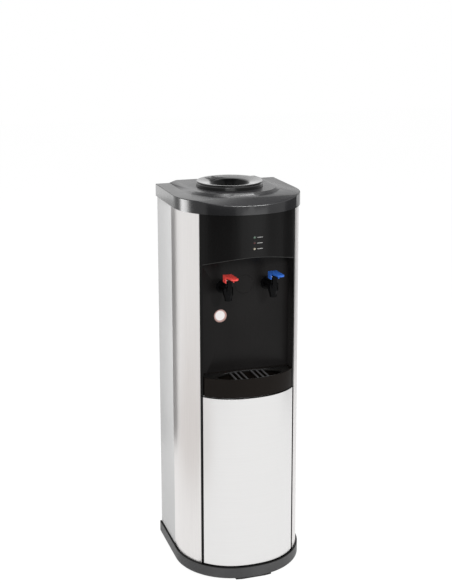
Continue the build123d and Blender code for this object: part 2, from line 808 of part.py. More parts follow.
with BuildPart() as storage_liner:
    flange_half = liner_half + LINER_FLANGE
    block(-liner_half, liner_half, liner_front, liner_rear, base_top, deck_z)
    block(-flange_half, flange_half, liner_front, liner_front + LINER_WALL, base_top, deck_z)
    block(
        LINER_WALL - liner_half, liner_half - LINER_WALL, liner_front, liner_rear - LINER_WALL,
        base_top + LINER_WALL, deck_z - LINER_WALL, Mode.SUBTRACT,
    )
save(storage_liner, "storage_liner")

latch_top = deck_z - LINER_WALL
latch_z = latch_top - LATCH_H / 2
latch_y = liner_front

with BuildPart() as latch_body:
    block(
        -latch_x - LATCH_W / 2, LATCH_W / 2 - latch_x, latch_y, latch_y + LATCH_L,
        latch_z - LATCH_H / 2, latch_top,
    )
    level_rod(-latch_x, latch_z, latch_y, latch_y + PLUNGER_L, PLUNGER_R + PIN_FIT, Mode.SUBTRACT)
save(latch_body, "latch_body")

with BuildPart() as latch_plunger:
    level_rod(-latch_x, latch_z, door_inner + FACE_GAP, latch_y + PLUNGER_L - FACE_GAP, PLUNGER_R)
save(latch_plunger, "latch_plunger")

# Taps: body, lever, stem and spring for each side, with shared washers, nuts and pivot pins

tail_y = niche_back + SHANK_TAIL
nipple_end = tail_y + NIPPLE_LENGTH
spout_z = inlet_z - SPOUT_DROP
barrel_top = inlet_z + BARREL_RISE
chamber_r = STEM_LAND_R + FACE_GAP
seat_z = inlet_z + STEM_LAND_T
chamber_top = seat_z + STEM_LAND_T + SPRING_LENGTH + FACE_GAP
flange_y = niche_y - WASHER_T

for side, name in ((-1, "hot"), (1, "cold")):
    x = side * TAP_X
    with BuildPart() as tap_body:
        turned(x, tap_y, [
            (0, spout_z), (SPOUT_R, spout_z), (SPOUT_R + SPOUT_SWELL, spout_z + SPOUT_LIP),
            (BARREL_R, inlet_z - BARREL_FALL), (BARREL_R, barrel_top - BARREL_SHOULDER),
            (NECK_R, barrel_top), (NECK_R, neck_top), (0, neck_top),
        ])
        level_rod(x, inlet_z, tap_y, tail_y, SHANK_R)
        level_rod(x, inlet_z, flange_y - FLANGE_T, flange_y, FLANGE_R)
        level_rod(x, inlet_z, tail_y, nipple_end, NIPPLE_R)
        with BuildSketch(side_view(x)) as lug:
            with Locations((pivot_y, pivot_z)):
                Circle(LUG_R)
            lug_foot = barrel_top - BARREL_SHOULDER
            keep_between(pivot_y - LUG_R, pivot_y + LUG_R, lug_foot, pivot_z, Mode.ADD)
        extrude(lug.sketch, amount=LUG_HALF, both=True)
        rod(x, tap_y, spout_z, inlet_z, SPOUT_BORE_R, Mode.SUBTRACT)
        rod(x, tap_y, inlet_z, chamber_top, chamber_r, Mode.SUBTRACT)
        rod(x, tap_y, chamber_top, neck_top, STEM_R + PIN_FIT, Mode.SUBTRACT)
        level_rod(x, inlet_z, tap_y, nipple_end, NIPPLE_BORE_R, Mode.SUBTRACT)
        with BuildSketch(side_view(x)) as eye:
            with Locations((pivot_y, pivot_z)):
                Circle(PIN_R + PIN_FIT)
        extrude(eye.sketch, amount=LUG_HALF, both=True, mode=Mode.SUBTRACT)
    save(tap_body, f"{name}_tap_body")

    with BuildPart() as tap_lever:
        heel_y = tap_y + LEVER_HEEL
        under = lever_top - LEVER_T
        with BuildSketch(side_view(x)) as paddle:
            with BuildLine() as edge:
                Polyline(
                    (heel_y, under), (heel_y, lever_top), (pivot_y, lever_top),
                    (lever_tip, lever_top + LEVER_SLOPE), (lever_tip, under + LEVER_SLOPE),
                    (pivot_y, under), close=True,
                )
            make_face(edge.edges())
        extrude(paddle.sketch, amount=cheek_out, both=True)
        with BuildSketch(side_view(x)) as cheek:
            keep_between(pivot_y - LUG_R, heel_y, pivot_z - CHEEK_DROP, under, Mode.ADD)
        extrude(cheek.sketch, amount=cheek_out, both=True)
        with BuildSketch(side_view(x)) as cheek_space:
            keep_between(pivot_y - 2 * LUG_R, heel_y, pivot_z - 2 * CHEEK_DROP, under, Mode.ADD)
        extrude(cheek_space.sketch, amount=cheek_in, both=True, mode=Mode.SUBTRACT)
        with BuildSketch(level(pivot_z - CHEEK_DROP)) as blade:
            with BuildLine() as edge:
                Line((x - cheek_out, heel_y), (x - cheek_out, pivot_y))
                Line((x - cheek_out, pivot_y), (x - LEVER_TIP_R, lever_tip + LEVER_TIP_R))
                ThreePointArc(
                    (x - LEVER_TIP_R, lever_tip + LEVER_TIP_R), (x, lever_tip),
                    (x + LEVER_TIP_R, lever_tip + LEVER_TIP_R),
                )
                Line((x + LEVER_TIP_R, lever_tip + LEVER_TIP_R), (x + cheek_out, pivot_y))
                Line((x + cheek_out, pivot_y), (x + cheek_out, heel_y))
                Line((x + cheek_out, heel_y), (x - cheek_out, heel_y))
            make_face(edge.edges())
        extrude(blade.sketch, amount=LID_TOP, mode=Mode.INTERSECT)
        with BuildSketch(side_view(x)) as link_pin:
            with Locations((tap_y, pivot_z)):
                Circle(PIN_R)
        extrude(link_pin.sketch, amount=cheek_out, both=True)
        with BuildSketch(side_view(x)) as eyes:
            with Locations((pivot_y, pivot_z)):
                Circle(PIN_R + PIN_FIT)
        extrude(eyes.sketch, amount=cheek_out, both=True, mode=Mode.SUBTRACT)
    save(tap_lever, f"{name}_tap_lever")

    with BuildPart() as tap_stem:
        stem_top = pivot_z + PIN_R + STEM_SLOT_GAP + STEM_R / 2
        rod(x, tap_y, inlet_z, stem_top, STEM_R)
        rod(x, tap_y, seat_z, seat_z + STEM_LAND_T, STEM_LAND_R)
        slot_h = 2 * (PIN_R + STEM_SLOT_GAP)
        with BuildSketch(side_view(x)) as tongue:
            tongue_half = STEM_SLOT / 2
            keep_between(tap_y - tongue_half, tap_y + tongue_half, neck_top + FACE_GAP, stem_top, Mode.ADD)
        extrude(tongue.sketch, amount=STEM_R / 2, both=True)
        with BuildSketch(side_view(x)) as slot:
            with Locations((tap_y, pivot_z)):
                SlotOverall(STEM_SLOT - STEM_R / 2, slot_h)
        extrude(slot.sketch, amount=STEM_R, both=True, mode=Mode.SUBTRACT)
    save(tap_stem, f"{name}_tap_stem")

    with BuildPart() as tap_spring:
        spring_z = seat_z + STEM_LAND_T
        spring_in = STEM_R + FACE_GAP
        tube(x, tap_y, spring_z, spring_z + SPRING_LENGTH, spring_in + SPRING_WALL, spring_in)
    save(tap_spring, f"{name}_tap_spring")

with BuildPart() as pivot_pins:
    for x in (-TAP_X, TAP_X):
        with BuildSketch(side_view(x)) as pin:
            with Locations((pivot_y, pivot_z)):
                Circle(PIN_R)
        extrude(pin.sketch, amount=cheek_out, both=True)
save(pivot_pins, "pivot_pins")

with BuildPart() as tap_washers:
    for x in (-TAP_X, TAP_X):
        level_rod(x, inlet_z, flange_y, niche_y, FLANGE_R)
        level_rod(x, inlet_z, flange_y, niche_y, SHANK_R + PIN_FIT, Mode.SUBTRACT)
save(tap_washers, "tap_washers")

with BuildPart() as tap_nuts:
    for x in (-TAP_X, TAP_X):
        with BuildSketch(upright(x, niche_back + NUT_T)) as nut:
            with Locations((0, inlet_z)):
                RegularPolygon(NUT_R, 6)
                Circle(SHANK_R + PIN_FIT, mode=Mode.SUBTRACT)
        extrude(nut.sketch, amount=NUT_T)
save(tap_nuts, "tap_nuts")

# Cold tank, jacket, seal and shelf

with BuildPart() as tank_shelf:
    block(-side_inner, side_inner, corner_cy, flange_inner - FACE_GAP, shelf_z, shelf_top)
    rod(0, bottle_y, shelf_z, shelf_top, BLOCK_R + PLASTIC, Mode.SUBTRACT)
    for x, y in ((OUTLET_X, outlet_y), (-OUTLET_X, feed_y)):
        rod(x, y, shelf_z, shelf_top, hose_out + FACE_GAP, Mode.SUBTRACT)
save(tank_shelf, "tank_shelf")

with BuildPart() as cold_tank:
    lip_r = TANK_R + TANK_LIP
    turned(0, bottle_y, [
        (0, tank_z), (TANK_R, tank_z),
        (TANK_R, tank_top - 2 * TANK_WALL), (lip_r, tank_top - 2 * TANK_WALL),
        (lip_r, tank_top), (TANK_R - TANK_WALL, tank_top), (TANK_R - TANK_WALL, tank_z + TANK_WALL),
        (0, tank_z + TANK_WALL),
    ])
    for x, y in ((OUTLET_X, outlet_y), (-OUTLET_X, feed_y)):
        rod(x, y, shelf_z - NIPPLE_LENGTH, tank_z, NIPPLE_R)
        rod(x, y, shelf_z - NIPPLE_LENGTH, tank_z + TANK_WALL, NIPPLE_BORE_R, Mode.SUBTRACT)
save(cold_tank, "cold_tank")

with BuildPart() as cold_jacket:
    jacket_top = tank_top - 2 * TANK_WALL
    turned(0, bottle_y, [
        (BLOCK_R + JACKET_FIT, shelf_top), (jacket_r, shelf_top), (jacket_r, jacket_top),
        (TANK_R + JACKET_FIT, jacket_top), (TANK_R + JACKET_FIT, tank_z), (BLOCK_R + JACKET_FIT, tank_z),
    ])
    for x, y in ((OUTLET_X, outlet_y), (-OUTLET_X, feed_y)):
        rod(x, y, shelf_top, tank_z, NIPPLE_R + JACKET_FIT, Mode.SUBTRACT)
save(cold_jacket, "cold_jacket")

with BuildPart() as tank_seal:
    tube(0, bottle_y, tank_top, collar_under - FACE_GAP, TANK_R + SEAL_WIDTH, TANK_R)
save(tank_seal, "tank_seal")

# Thermoelectric cooler under the cold tank

with BuildPart() as cold_block:
    rod(0, bottle_y, module_top, tank_z, BLOCK_R)
save(cold_block, "cold_block")

with BuildPart() as cooling_module:
    half = MODULE_SIDE / 2
    block(-half, half, bottle_y - half, bottle_y + half, sink_top, module_top)
save(cooling_module, "cooling_module")

with BuildPart() as heat_sink:
    half = SINK_SIDE / 2
    block(-half, half, bottle_y - half, bottle_y + half, sink_top - SINK_BASE_T, sink_top)
    fin_pitch = (SINK_SIDE - SINK_FIN_T) / (SINK_FINS - 1)
    with BuildSketch(level(fin_bottom)) as fins:
        with Locations((0, bottle_y)):
            with GridLocations(fin_pitch, 0, SINK_FINS, 1):
                Rectangle(SINK_FIN_T, SINK_SIDE)
    extrude(fins.sketch, amount=SINK_FIN_H)
    with BuildSketch(level(sink_top)) as studs:
        with Locations((0, bottle_y)):
            with GridLocations(STUD_SPAN, STUD_SPAN, 2, 2):
                Circle(STUD_R)
    extrude(studs.sketch, amount=SINK_GAP)
save(heat_sink, "heat_sink")

with BuildPart() as fan_frame:
    half = SINK_SIDE / 2
    block(-half, half, bottle_y - half, bottle_y + half, fan_z, fin_bottom)
    rod(0, bottle_y, fan_z, fin_bottom, FAN_BORE_R, Mode.SUBTRACT)
    with BuildSketch(level(fan_z)) as spider:
        with Locations((0, bottle_y)):
            Circle(FAN_HUB_R)
            Rectangle(SINK_SIDE, SPIDER_ARM)
            Rectangle(SPIDER_ARM, SINK_SIDE)
    extrude(spider.sketch, amount=SPIDER_T)
    rod(0, bottle_y, fan_z + SPIDER_T, fan_z + FAN_T - SPIDER_T, FAN_SHAFT_R)
save(fan_frame, "fan_frame")

with BuildPart() as fan_rotor:
    hub_z = fan_z + SPIDER_T + FACE_GAP
    hub_h = FAN_T - 2 * SPIDER_T - FACE_GAP
    rod(0, bottle_y, hub_z, hub_z + hub_h, FAN_HUB_R)
    blade_l = FAN_BORE_R - FAN_BLADE_GAP - FAN_HUB_R + FAN_BLADE_T
    blade_mid = FAN_HUB_R - FAN_BLADE_T + blade_l / 2
    with Locations((0, bottle_y, hub_z + hub_h / 2)):
        with PolarLocations(blade_mid, FAN_BLADES):
            Box(blade_l, FAN_BLADE_T, hub_h, rotation=(FAN_PITCH, 0, 0))
    rod(0, bottle_y, hub_z, hub_z + hub_h, FAN_SHAFT_R + PIN_FIT, Mode.SUBTRACT)
save(fan_rotor, "fan_rotor")

# Hot tank with its stand, jacket, band heater and thermostats

with BuildPart() as hot_stand:
    tube(0, hot_y, deck_top, stand_top, HOT_R, HOT_R - STAND_T)
save(hot_stand, "hot_stand")

with BuildPart() as hot_tank:
    rod(0, hot_y, hot_z, hot_top, HOT_R)
    rod(0, hot_y, hot_z + HOT_WALL, hot_top - HOT_WALL, HOT_R - HOT_WALL, Mode.SUBTRACT)
    port_reach = hot_jacket_r + NIPPLE_LENGTH
    rod(-HOT_OUTLET, hot_y, hot_top, hot_top + NIPPLE_LENGTH, NIPPLE_R)
    rod(-HOT_OUTLET, hot_y, hot_top - HOT_WALL, hot_top + NIPPLE_LENGTH, NIPPLE_BORE_R, Mode.SUBTRACT)
    wall_mid = HOT_R - HOT_WALL / 2
    for port in (Plane(origin=(-wall_mid, hot_y, port_z), z_dir=(-1, 0, 0)),
                 Plane(origin=(0, hot_y + wall_mid, port_z), z_dir=(0, 1, 0))):
        with BuildSketch(port) as spigot:
            Circle(NIPPLE_R)
        extrude(spigot.sketch, amount=port_reach - wall_mid)
        with BuildSketch(port.offset(-HOT_WALL)) as spigot_bore:
            Circle(NIPPLE_BORE_R)
        extrude(spigot_bore.sketch, amount=port_reach, mode=Mode.SUBTRACT)
save(hot_tank, "hot_tank")

with BuildPart() as hot_jacket:
    turned(0, hot_y, [
        (0, stand_top), (hot_jacket_r, stand_top), (hot_jacket_r, hot_top),
        (hot_jacket_in, hot_top), (hot_jacket_in, hot_z), (0, hot_z),
    ])
    for port in (Plane(origin=(0, hot_y, port_z), z_dir=(-1, 0, 0)),
                 Plane(origin=(0, hot_y, port_z), z_dir=(0, 1, 0))):
        with BuildSketch(port) as passage:
            Circle(NIPPLE_R + JACKET_FIT)
        extrude(passage.sketch, amount=2 * hot_jacket_r, mode=Mode.SUBTRACT)
save(hot_jacket, "hot_jacket")

with BuildPart() as band_heater:
    band_z = port_z + BAND_BASE
    tube(0, hot_y, band_z, band_z + BAND_H, HOT_R + BAND_T, HOT_R + PIN_FIT)
save(band_heater, "band_heater")

with BuildPart() as thermostats:
    for lead in (-THERMOSTAT_LEAD, THERMOSTAT_LEAD):
        rod(HOT_OUTLET / 2, hot_y + lead, hot_top, hot_top + THERMOSTAT_H, THERMOSTAT_R)
save(thermostats, "thermostats")

# Hoses

hose_end = tail_y + HOSE_FIT
turn_y = tail_y + HOSE_DROP_Y
over_hot = hot_top + NIPPLE_LENGTH + HOSE_BEND + FACE_GAP

with BuildPart() as hot_hose:
    hose([
        (-TAP_X, hose_end, inlet_z), (-TAP_X, turn_y, inlet_z), (-TAP_X, turn_y, over_hot),
        (-HOT_OUTLET, hot_y, over_hot), (-HOT_OUTLET, hot_y, hot_top + HOSE_FIT),
    ])
save(hot_hose, "hot_hose")

cold_dip = inlet_z - 2 * HOSE_BEND - HOSE_RUN
with BuildPart() as cold_hose:
    hose([
        (TAP_X, hose_end, inlet_z), (TAP_X, turn_y, inlet_z), (TAP_X, turn_y, cold_dip),
        (OUTLET_X, outlet_y, cold_dip), (OUTLET_X, outlet_y, shelf_z - HOSE_FIT),
    ])
save(cold_hose, "cold_hose")

with BuildPart() as feed_hose:
    hose([
        (-OUTLET_X, feed_y, shelf_z - HOSE_FIT), (-OUTLET_X, feed_y, fan_z),
        (-HOSE_SIDE_X, hot_y, hot_top), (-HOSE_SIDE_X, hot_y, port_z),
        (-hot_jacket_r - HOSE_FIT, hot_y, port_z),
    ])
save(feed_hose, "feed_hose")

drain_tail = pocket_back - DRAIN_FLANGE_T - NIPPLE_LENGTH

with BuildPart() as drain_hose:
    drain_start = hot_y + hot_jacket_r + HOSE_FIT
    drain_end = pocket_back - DRAIN_FLANGE_T
    level_rod(0, port_z, drain_start, drain_end, hose_out)
    level_rod(0, port_z, drain_start, drain_end, hose_in, Mode.SUBTRACT)
save(drain_hose, "drain_hose")

# Rear service pocket: drain, cap, switches and power inlet

with BuildPart() as drain_fitting:
    level_rod(0, port_z, drain_tail, pocket_back, NIPPLE_R)
    level_rod(0, port_z, pocket_back - DRAIN_FLANGE_T, pocket_back, DRAIN_FLANGE_R)
    level_rod(0, port_z, pocket_back, pocket_face + DRAIN_STUB, DRAIN_R)
    level_rod(0, port_z, drain_tail, pocket_face + DRAIN_STUB, NIPPLE_BORE_R, Mode.SUBTRACT)
save(drain_fitting, "drain_fitting")

with BuildPart() as drain_cap:
    cap_y = pocket_face + FACE_GAP
    level_rod(0, port_z, cap_y, cap_y + CAP_H, CAP_R)
    level_rod(0, port_z, cap_y, cap_y + CAP_H - CAP_WALL, DRAIN_R + PIN_FIT, Mode.SUBTRACT)
save(drain_cap, "drain_cap")

rocker_y = pocket_face - SWITCH_BODY / 2

with BuildPart() as switch_frames:
    for x in (SWITCH_X, SWITCH_X - SWITCH_PITCH):
        wide = SWITCH_W / 2 - FACE_GAP
        tall = SWITCH_H / 2 - FACE_GAP
        block(x - wide, x + wide, pocket_face - SWITCH_BODY, pocket_face, switch_z - tall, switch_z + tall)
        block(
            x - SWITCH_W / 2 - SWITCH_RIM / 2, x + SWITCH_W / 2 + SWITCH_RIM / 2,
            pocket_face, pocket_face + SWITCH_RIM,
            switch_z - SWITCH_H / 2 - SWITCH_RIM / 2, switch_z + SWITCH_H / 2 + SWITCH_RIM / 2,
        )
        block(
            x - wide + SWITCH_RIM, x + wide - SWITCH_RIM, rocker_y - SWITCH_RIM, pocket_face + SWITCH_RIM,
            switch_z - tall + SWITCH_RIM, switch_z + tall - SWITCH_RIM, Mode.SUBTRACT,
        )
        with BuildSketch(side_view(x)) as bearing:
            with Locations((rocker_y, switch_z)):
                Circle(TRUNNION_R + PIN_FIT)
        extrude(bearing.sketch, amount=wide, both=True, mode=Mode.SUBTRACT)
save(switch_frames, "switch_frames")

for x, name in ((SWITCH_X, "cold_switch"), (SWITCH_X - SWITCH_PITCH, "hot_switch")):
    with BuildPart() as rocker:
        wide = SWITCH_W / 2 - FACE_GAP - SWITCH_RIM - ROCKER_GAP
        tall = SWITCH_H / 2 - FACE_GAP - SWITCH_RIM - ROCKER_END_GAP
        crown = pocket_face + SWITCH_RIM - rocker_y
        lean = radians(ROCKER_TILT)
        rise = tall * tan(lean)
        tilted = Plane(origin=(x, rocker_y, switch_z), x_dir=(0, cos(lean), sin(lean)), z_dir=(1, 0, 0))
        with BuildSketch(tilted) as shape:
            with BuildLine() as edge:
                Polyline(
                    (0, -tall), (crown + rise, -tall), (crown, 0), (crown + rise, tall), (0, tall),
                    close=True,
                )
            make_face(edge.edges())
        extrude(shape.sketch, amount=wide, both=True)
        with BuildSketch(side_view(x)) as trunnion:
            with Locations((rocker_y, switch_z)):
                Circle(TRUNNION_R)
        extrude(trunnion.sketch, amount=wide + SWITCH_RIM, both=True)
    save(rocker, name)

with BuildPart() as power_inlet:
    wide = INLET_W / 2 - FACE_GAP
    tall = INLET_H / 2 - FACE_GAP
    block(
        -INLET_X - wide, wide - INLET_X, pocket_face - INLET_BODY, pocket_face,
        switch_z - tall, switch_z + tall,
    )
    rim_w = INLET_W / 2 + INLET_RIM
    rim_h = INLET_H / 2 + INLET_RIM / 2
    block(
        -INLET_X - rim_w, rim_w - INLET_X, pocket_face, pocket_face + SWITCH_RIM,
        switch_z - rim_h, switch_z + rim_h,
    )
    cavity_w = wide - SWITCH_RIM
    cavity_h = tall - SWITCH_RIM
    block(
        -INLET_X - cavity_w, cavity_w - INLET_X, pocket_face - INLET_CAVITY, pocket_face + SWITCH_RIM,
        switch_z - cavity_h, switch_z + cavity_h, Mode.SUBTRACT,
    )
    with BuildSketch(upright(-INLET_X, pocket_face - BLADE_INSET)) as blades:
        with Locations((-cavity_w / 2, switch_z), (0, switch_z + BLADE_H / 2), (cavity_w / 2, switch_z)):
            Rectangle(BLADE_W, BLADE_H)
    extrude(blades.sketch, amount=INLET_CAVITY)
save(power_inlet, "power_inlet")

with BuildPart() as power_supply:
    box_w, box_d, box_h = POWER_BOX
    box_z = shelf_z - POWER_BOX_DROP - box_h
    box_edge = side_inner - POWER_BOX_SIDE
    box_front = plate_inner - box_d
    block(box_edge - box_w, box_edge, box_front, plate_inner, box_z, box_z + box_h)
save(power_supply, "power_supply")
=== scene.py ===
"""The looks of a free-standing, bottle-top water dispenser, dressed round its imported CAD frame."""
import json
import logging
import math
from dataclasses import dataclass, replace
from enum import Enum
from typing import ClassVar, Sequence

import bmesh
import bpy
from mathutils import Matrix, Vector

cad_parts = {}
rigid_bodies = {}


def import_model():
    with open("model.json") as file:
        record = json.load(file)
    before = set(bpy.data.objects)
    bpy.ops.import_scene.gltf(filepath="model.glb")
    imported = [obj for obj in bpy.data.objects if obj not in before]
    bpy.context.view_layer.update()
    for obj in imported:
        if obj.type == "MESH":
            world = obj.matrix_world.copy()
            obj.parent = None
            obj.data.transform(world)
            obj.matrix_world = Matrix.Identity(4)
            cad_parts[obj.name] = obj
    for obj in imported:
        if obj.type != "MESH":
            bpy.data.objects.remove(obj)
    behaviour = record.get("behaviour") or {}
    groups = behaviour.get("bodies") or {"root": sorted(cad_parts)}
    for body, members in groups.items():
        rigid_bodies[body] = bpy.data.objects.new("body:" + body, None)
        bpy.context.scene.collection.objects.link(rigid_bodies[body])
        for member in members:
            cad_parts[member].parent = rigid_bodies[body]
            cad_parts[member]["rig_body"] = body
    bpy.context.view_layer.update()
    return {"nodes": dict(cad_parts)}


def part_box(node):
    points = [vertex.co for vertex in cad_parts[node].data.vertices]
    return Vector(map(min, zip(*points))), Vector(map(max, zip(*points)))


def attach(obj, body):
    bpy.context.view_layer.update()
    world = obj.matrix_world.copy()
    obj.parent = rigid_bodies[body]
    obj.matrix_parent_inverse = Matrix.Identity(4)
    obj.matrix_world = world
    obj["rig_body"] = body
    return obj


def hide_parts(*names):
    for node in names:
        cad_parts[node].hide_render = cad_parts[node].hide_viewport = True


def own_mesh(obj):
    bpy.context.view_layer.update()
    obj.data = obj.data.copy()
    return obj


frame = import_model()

MM = 0.001
WELD = 0.000002
TOP_SLACK = 0.00001
FLAT_ANGLE = math.radians(0.2)
EDGE_ANGLE = math.radians(28)
LOFT_ANGLE = math.radians(40)
TURN_ANGLE = math.radians(35)
LOG = logging.getLogger("dispenser")

Node = bpy.types.Node
Socket = bpy.types.NodeSocket
Mesh = bpy.types.Mesh
Object = bpy.types.Object
Colour = tuple[float, float, float]
Point = tuple[float, float, float]
Span = tuple[float, float]

WHITE: Colour = (1.0, 1.0, 1.0)
MIDDLE: Span = (0.3, 0.7)


class Grain(Enum):
    """Which way the brush ran over a steel sheet, as waves per metre along X, Y and Z."""

    LEVEL = (9.0, 9.0, 1400.0)
    UPRIGHT = (1400.0, 1400.0, 9.0)


class TapSide(Enum):
    """The two taps, as the CAD nodes and joints spell them."""

    HOT = "hot"
    COLD = "cold"


class NodeSheet:
    """A node tree that is written one node at a time."""

    def __init__(self, tree: bpy.types.NodeTree) -> None:
        """Take the tree that the nodes go into, and empty it."""
        self.tree = tree
        tree.nodes.clear()

    def add(self, kind: str, sockets: dict | None = None, **settings: object) -> Node:
        """Add a node, set it up and then fill its sockets.

        Args:
            kind: The node's type name in Blender.
            sockets: Values, nodes, sockets or signals for its inputs, by name or number.
            **settings: The node's own properties.

        Returns:
            The new node.
        """
        node = self.tree.nodes.new(kind)
        for name, value in settings.items():
            setattr(node, name, value)
        for key, value in (sockets or {}).items():
            self.feed(node.inputs[key], value)
        return node

    def feed(self, socket: Socket, value: object) -> None:
        """Link something into an input, or set the input to a plain value.

        Args:
            socket: The input.
            value: A node, a socket, a signal or a plain value.
        """
        source = value.socket if isinstance(value, Signal) else value
        if isinstance(source, Node):
            source = source.outputs[0]
        if isinstance(source, Socket):
            self.tree.links.new(source, socket)
        else:
            socket.default_value = source


class Signal:
    """A shader value that takes part in Python arithmetic."""

    def __init__(self, sheet: NodeSheet, socket: Socket) -> None:
        """Wrap one output socket of a sheet."""
        self.sheet = sheet
        self.socket = socket

    def _math(self, operation: str, first: object, second: object) -> "Signal":
        """Add one Math node and wrap its result."""
        node = self.sheet.add("ShaderNodeMath", {0: first, 1: second}, operation=operation)
        return Signal(self.sheet, node.outputs[0])

    def __add__(self, other: object) -> "Signal":
        """Sum."""
        return self._math("ADD", self, other)

    __radd__ = __add__

    def __sub__(self, other: object) -> "Signal":
        """Difference."""
        return self._math("SUBTRACT", self, other)

    def __rsub__(self, other: object) -> "Signal":
        """Difference, reflected."""
        return self._math("SUBTRACT", other, self)

    def __mul__(self, other: object) -> "Signal":
        """Product."""
        return self._math("MULTIPLY", self, other)

    def larger(self, other: object) -> "Signal":
        """The larger of two values."""
        return self._math("MAXIMUM", self, other)

    def sway(self, spread: float, middle: float = 0.5) -> "Signal":
        """The value less its middle, times a spread."""
        return (self - middle) * spread

    def step(self, low: float, high: float) -> "Signal":
        """A soft step from 0 to 1.

        Args:
            low: Where the step starts.
            high: Where it ends.

        Returns:
            The stepped value.
        """
        sockets = {"Value": self, "From Min": low, "From Max": high}
        node = self.sheet.add("ShaderNodeMapRange", sockets, interpolation_type="SMOOTHSTEP")
        return Signal(self.sheet, node.outputs[0])


def shaded(colour: Colour, share: float) -> Colour:
    """A colour made darker or lighter by a share."""
    return tuple(min(1.0, c * share) for c in colour)


class FinishSheet(NodeSheet):
    """A material with one Principled shader, patterned on Object coordinates."""

    def __init__(self, name: str) -> None:
        """Make the material, its shader and its coordinates.

        Args:
            name: The material's name.
        """
        self.material = bpy.data.materials.new(name)
        self.material.use_nodes = True
        super().__init__(self.material.node_tree)
        self.shader = self.add("ShaderNodeBsdfPrincipled")
        self.add("ShaderNodeOutputMaterial", {"Surface": self.shader})
        self.place = self.add("ShaderNodeTexCoord").outputs["Object"]

    def noise(self, *scale: float, detail: float = 2.0) -> Signal:
        """Noise stretched by a scale per axis.

        Args:
            *scale: Waves per metre along X, Y and Z, or one number for all three.
            detail: Octaves of finer noise.

        Returns:
            A value about 0.5.
        """
        waves = scale * 3 if len(scale) == 1 else scale
        turned = self.add("ShaderNodeMapping", {"Vector": self.place, "Scale": waves})
        sockets = {"Vector": turned, "Scale": 1.0, "Detail": detail}
        return Signal(self, self.add("ShaderNodeTexNoise", sockets).outputs[0])

    def cells(self, scale: float) -> Signal:
        """Distance inside Voronoi cells, scale cells to the metre."""
        node = self.add("ShaderNodeTexVoronoi", {"Vector": self.place, "Scale": scale})
        return Signal(self, node.outputs["Distance"])

    def radius(self, centre: Point) -> Signal:
        """Distance from a point of the frame."""
        node = self.add("ShaderNodeVectorMath", {0: self.place, 1: centre}, operation="DISTANCE")
        return Signal(self, node.outputs["Value"])

    def axis(self, number: int) -> Signal:
        """One coordinate of the frame: 0 for X, 1 for Y and 2 for Z."""
        node = self.add("ShaderNodeSeparateXYZ", {0: self.place})
        return Signal(self, node.outputs[number])

    def blend(self, mask: Signal, first: object, second: object) -> Socket:
        """Mix two colours.

        Args:
            mask: 0 for the first colour, 1 for the second.
            first: A colour or a colour socket.
            second: A colour or a colour socket.

        Returns:
            The mixed colour's socket.
        """
        ends = [(*c, 1.0) if isinstance(c, tuple) else c for c in (first, second)]
        sockets = {0: mask, 6: ends[0], 7: ends[1]}
        return self.add("ShaderNodeMix", sockets, data_type="RGBA").outputs[2]

    def mottled(self, mask: Signal, colour: Colour, share: float) -> Socket:
        """A colour that goes from a share darker to a share lighter along a mask."""
        return self.blend(mask, shaded(colour, 1 - share), shaded(colour, 1 + share))

    def put(self, **values: object) -> None:
        """Fill shader sockets.

        Args:
            **values: By the socket's name in lower case, with _ for its spaces.
        """
        for socket in self.shader.inputs:
            key = socket.name.lower().replace(" ", "_")
            if key in values:
                value = values.pop(key)
                self.feed(socket, (*value, 1.0) if isinstance(value, tuple) else value)
        if values:
            raise KeyError(f"no shader socket for {sorted(values)}")

    def bump(self, height: Signal, depth: float) -> None:
        """Raise the surface by a height signal, depth metres for 1."""
        sockets = {"Strength": 1.0, "Distance": depth, "Height": height}
        self.put(normal=self.add("ShaderNodeBump", sockets))


@dataclass(frozen=True)
class Finish:
    """A named surface, whose material is made once."""

    name: str

    def material(self) -> bpy.types.Material:
        """Find the finish's material, or make it.

        Returns:
            The material.
        """
        label = "look_" + self.name
        found = bpy.data.materials.get(label)
        if found is None:
            sheet = FinishSheet(label)
            self.write(sheet)
            found = sheet.material
        return found

    def cover(self, mesh: Mesh) -> None:
        """Make the finish a mesh's only one."""
        mesh.materials.clear()
        mesh.materials.append(self.material())

    def write(self, sheet: FinishSheet) -> None:
        """Write the nodes."""
        raise NotImplementedError


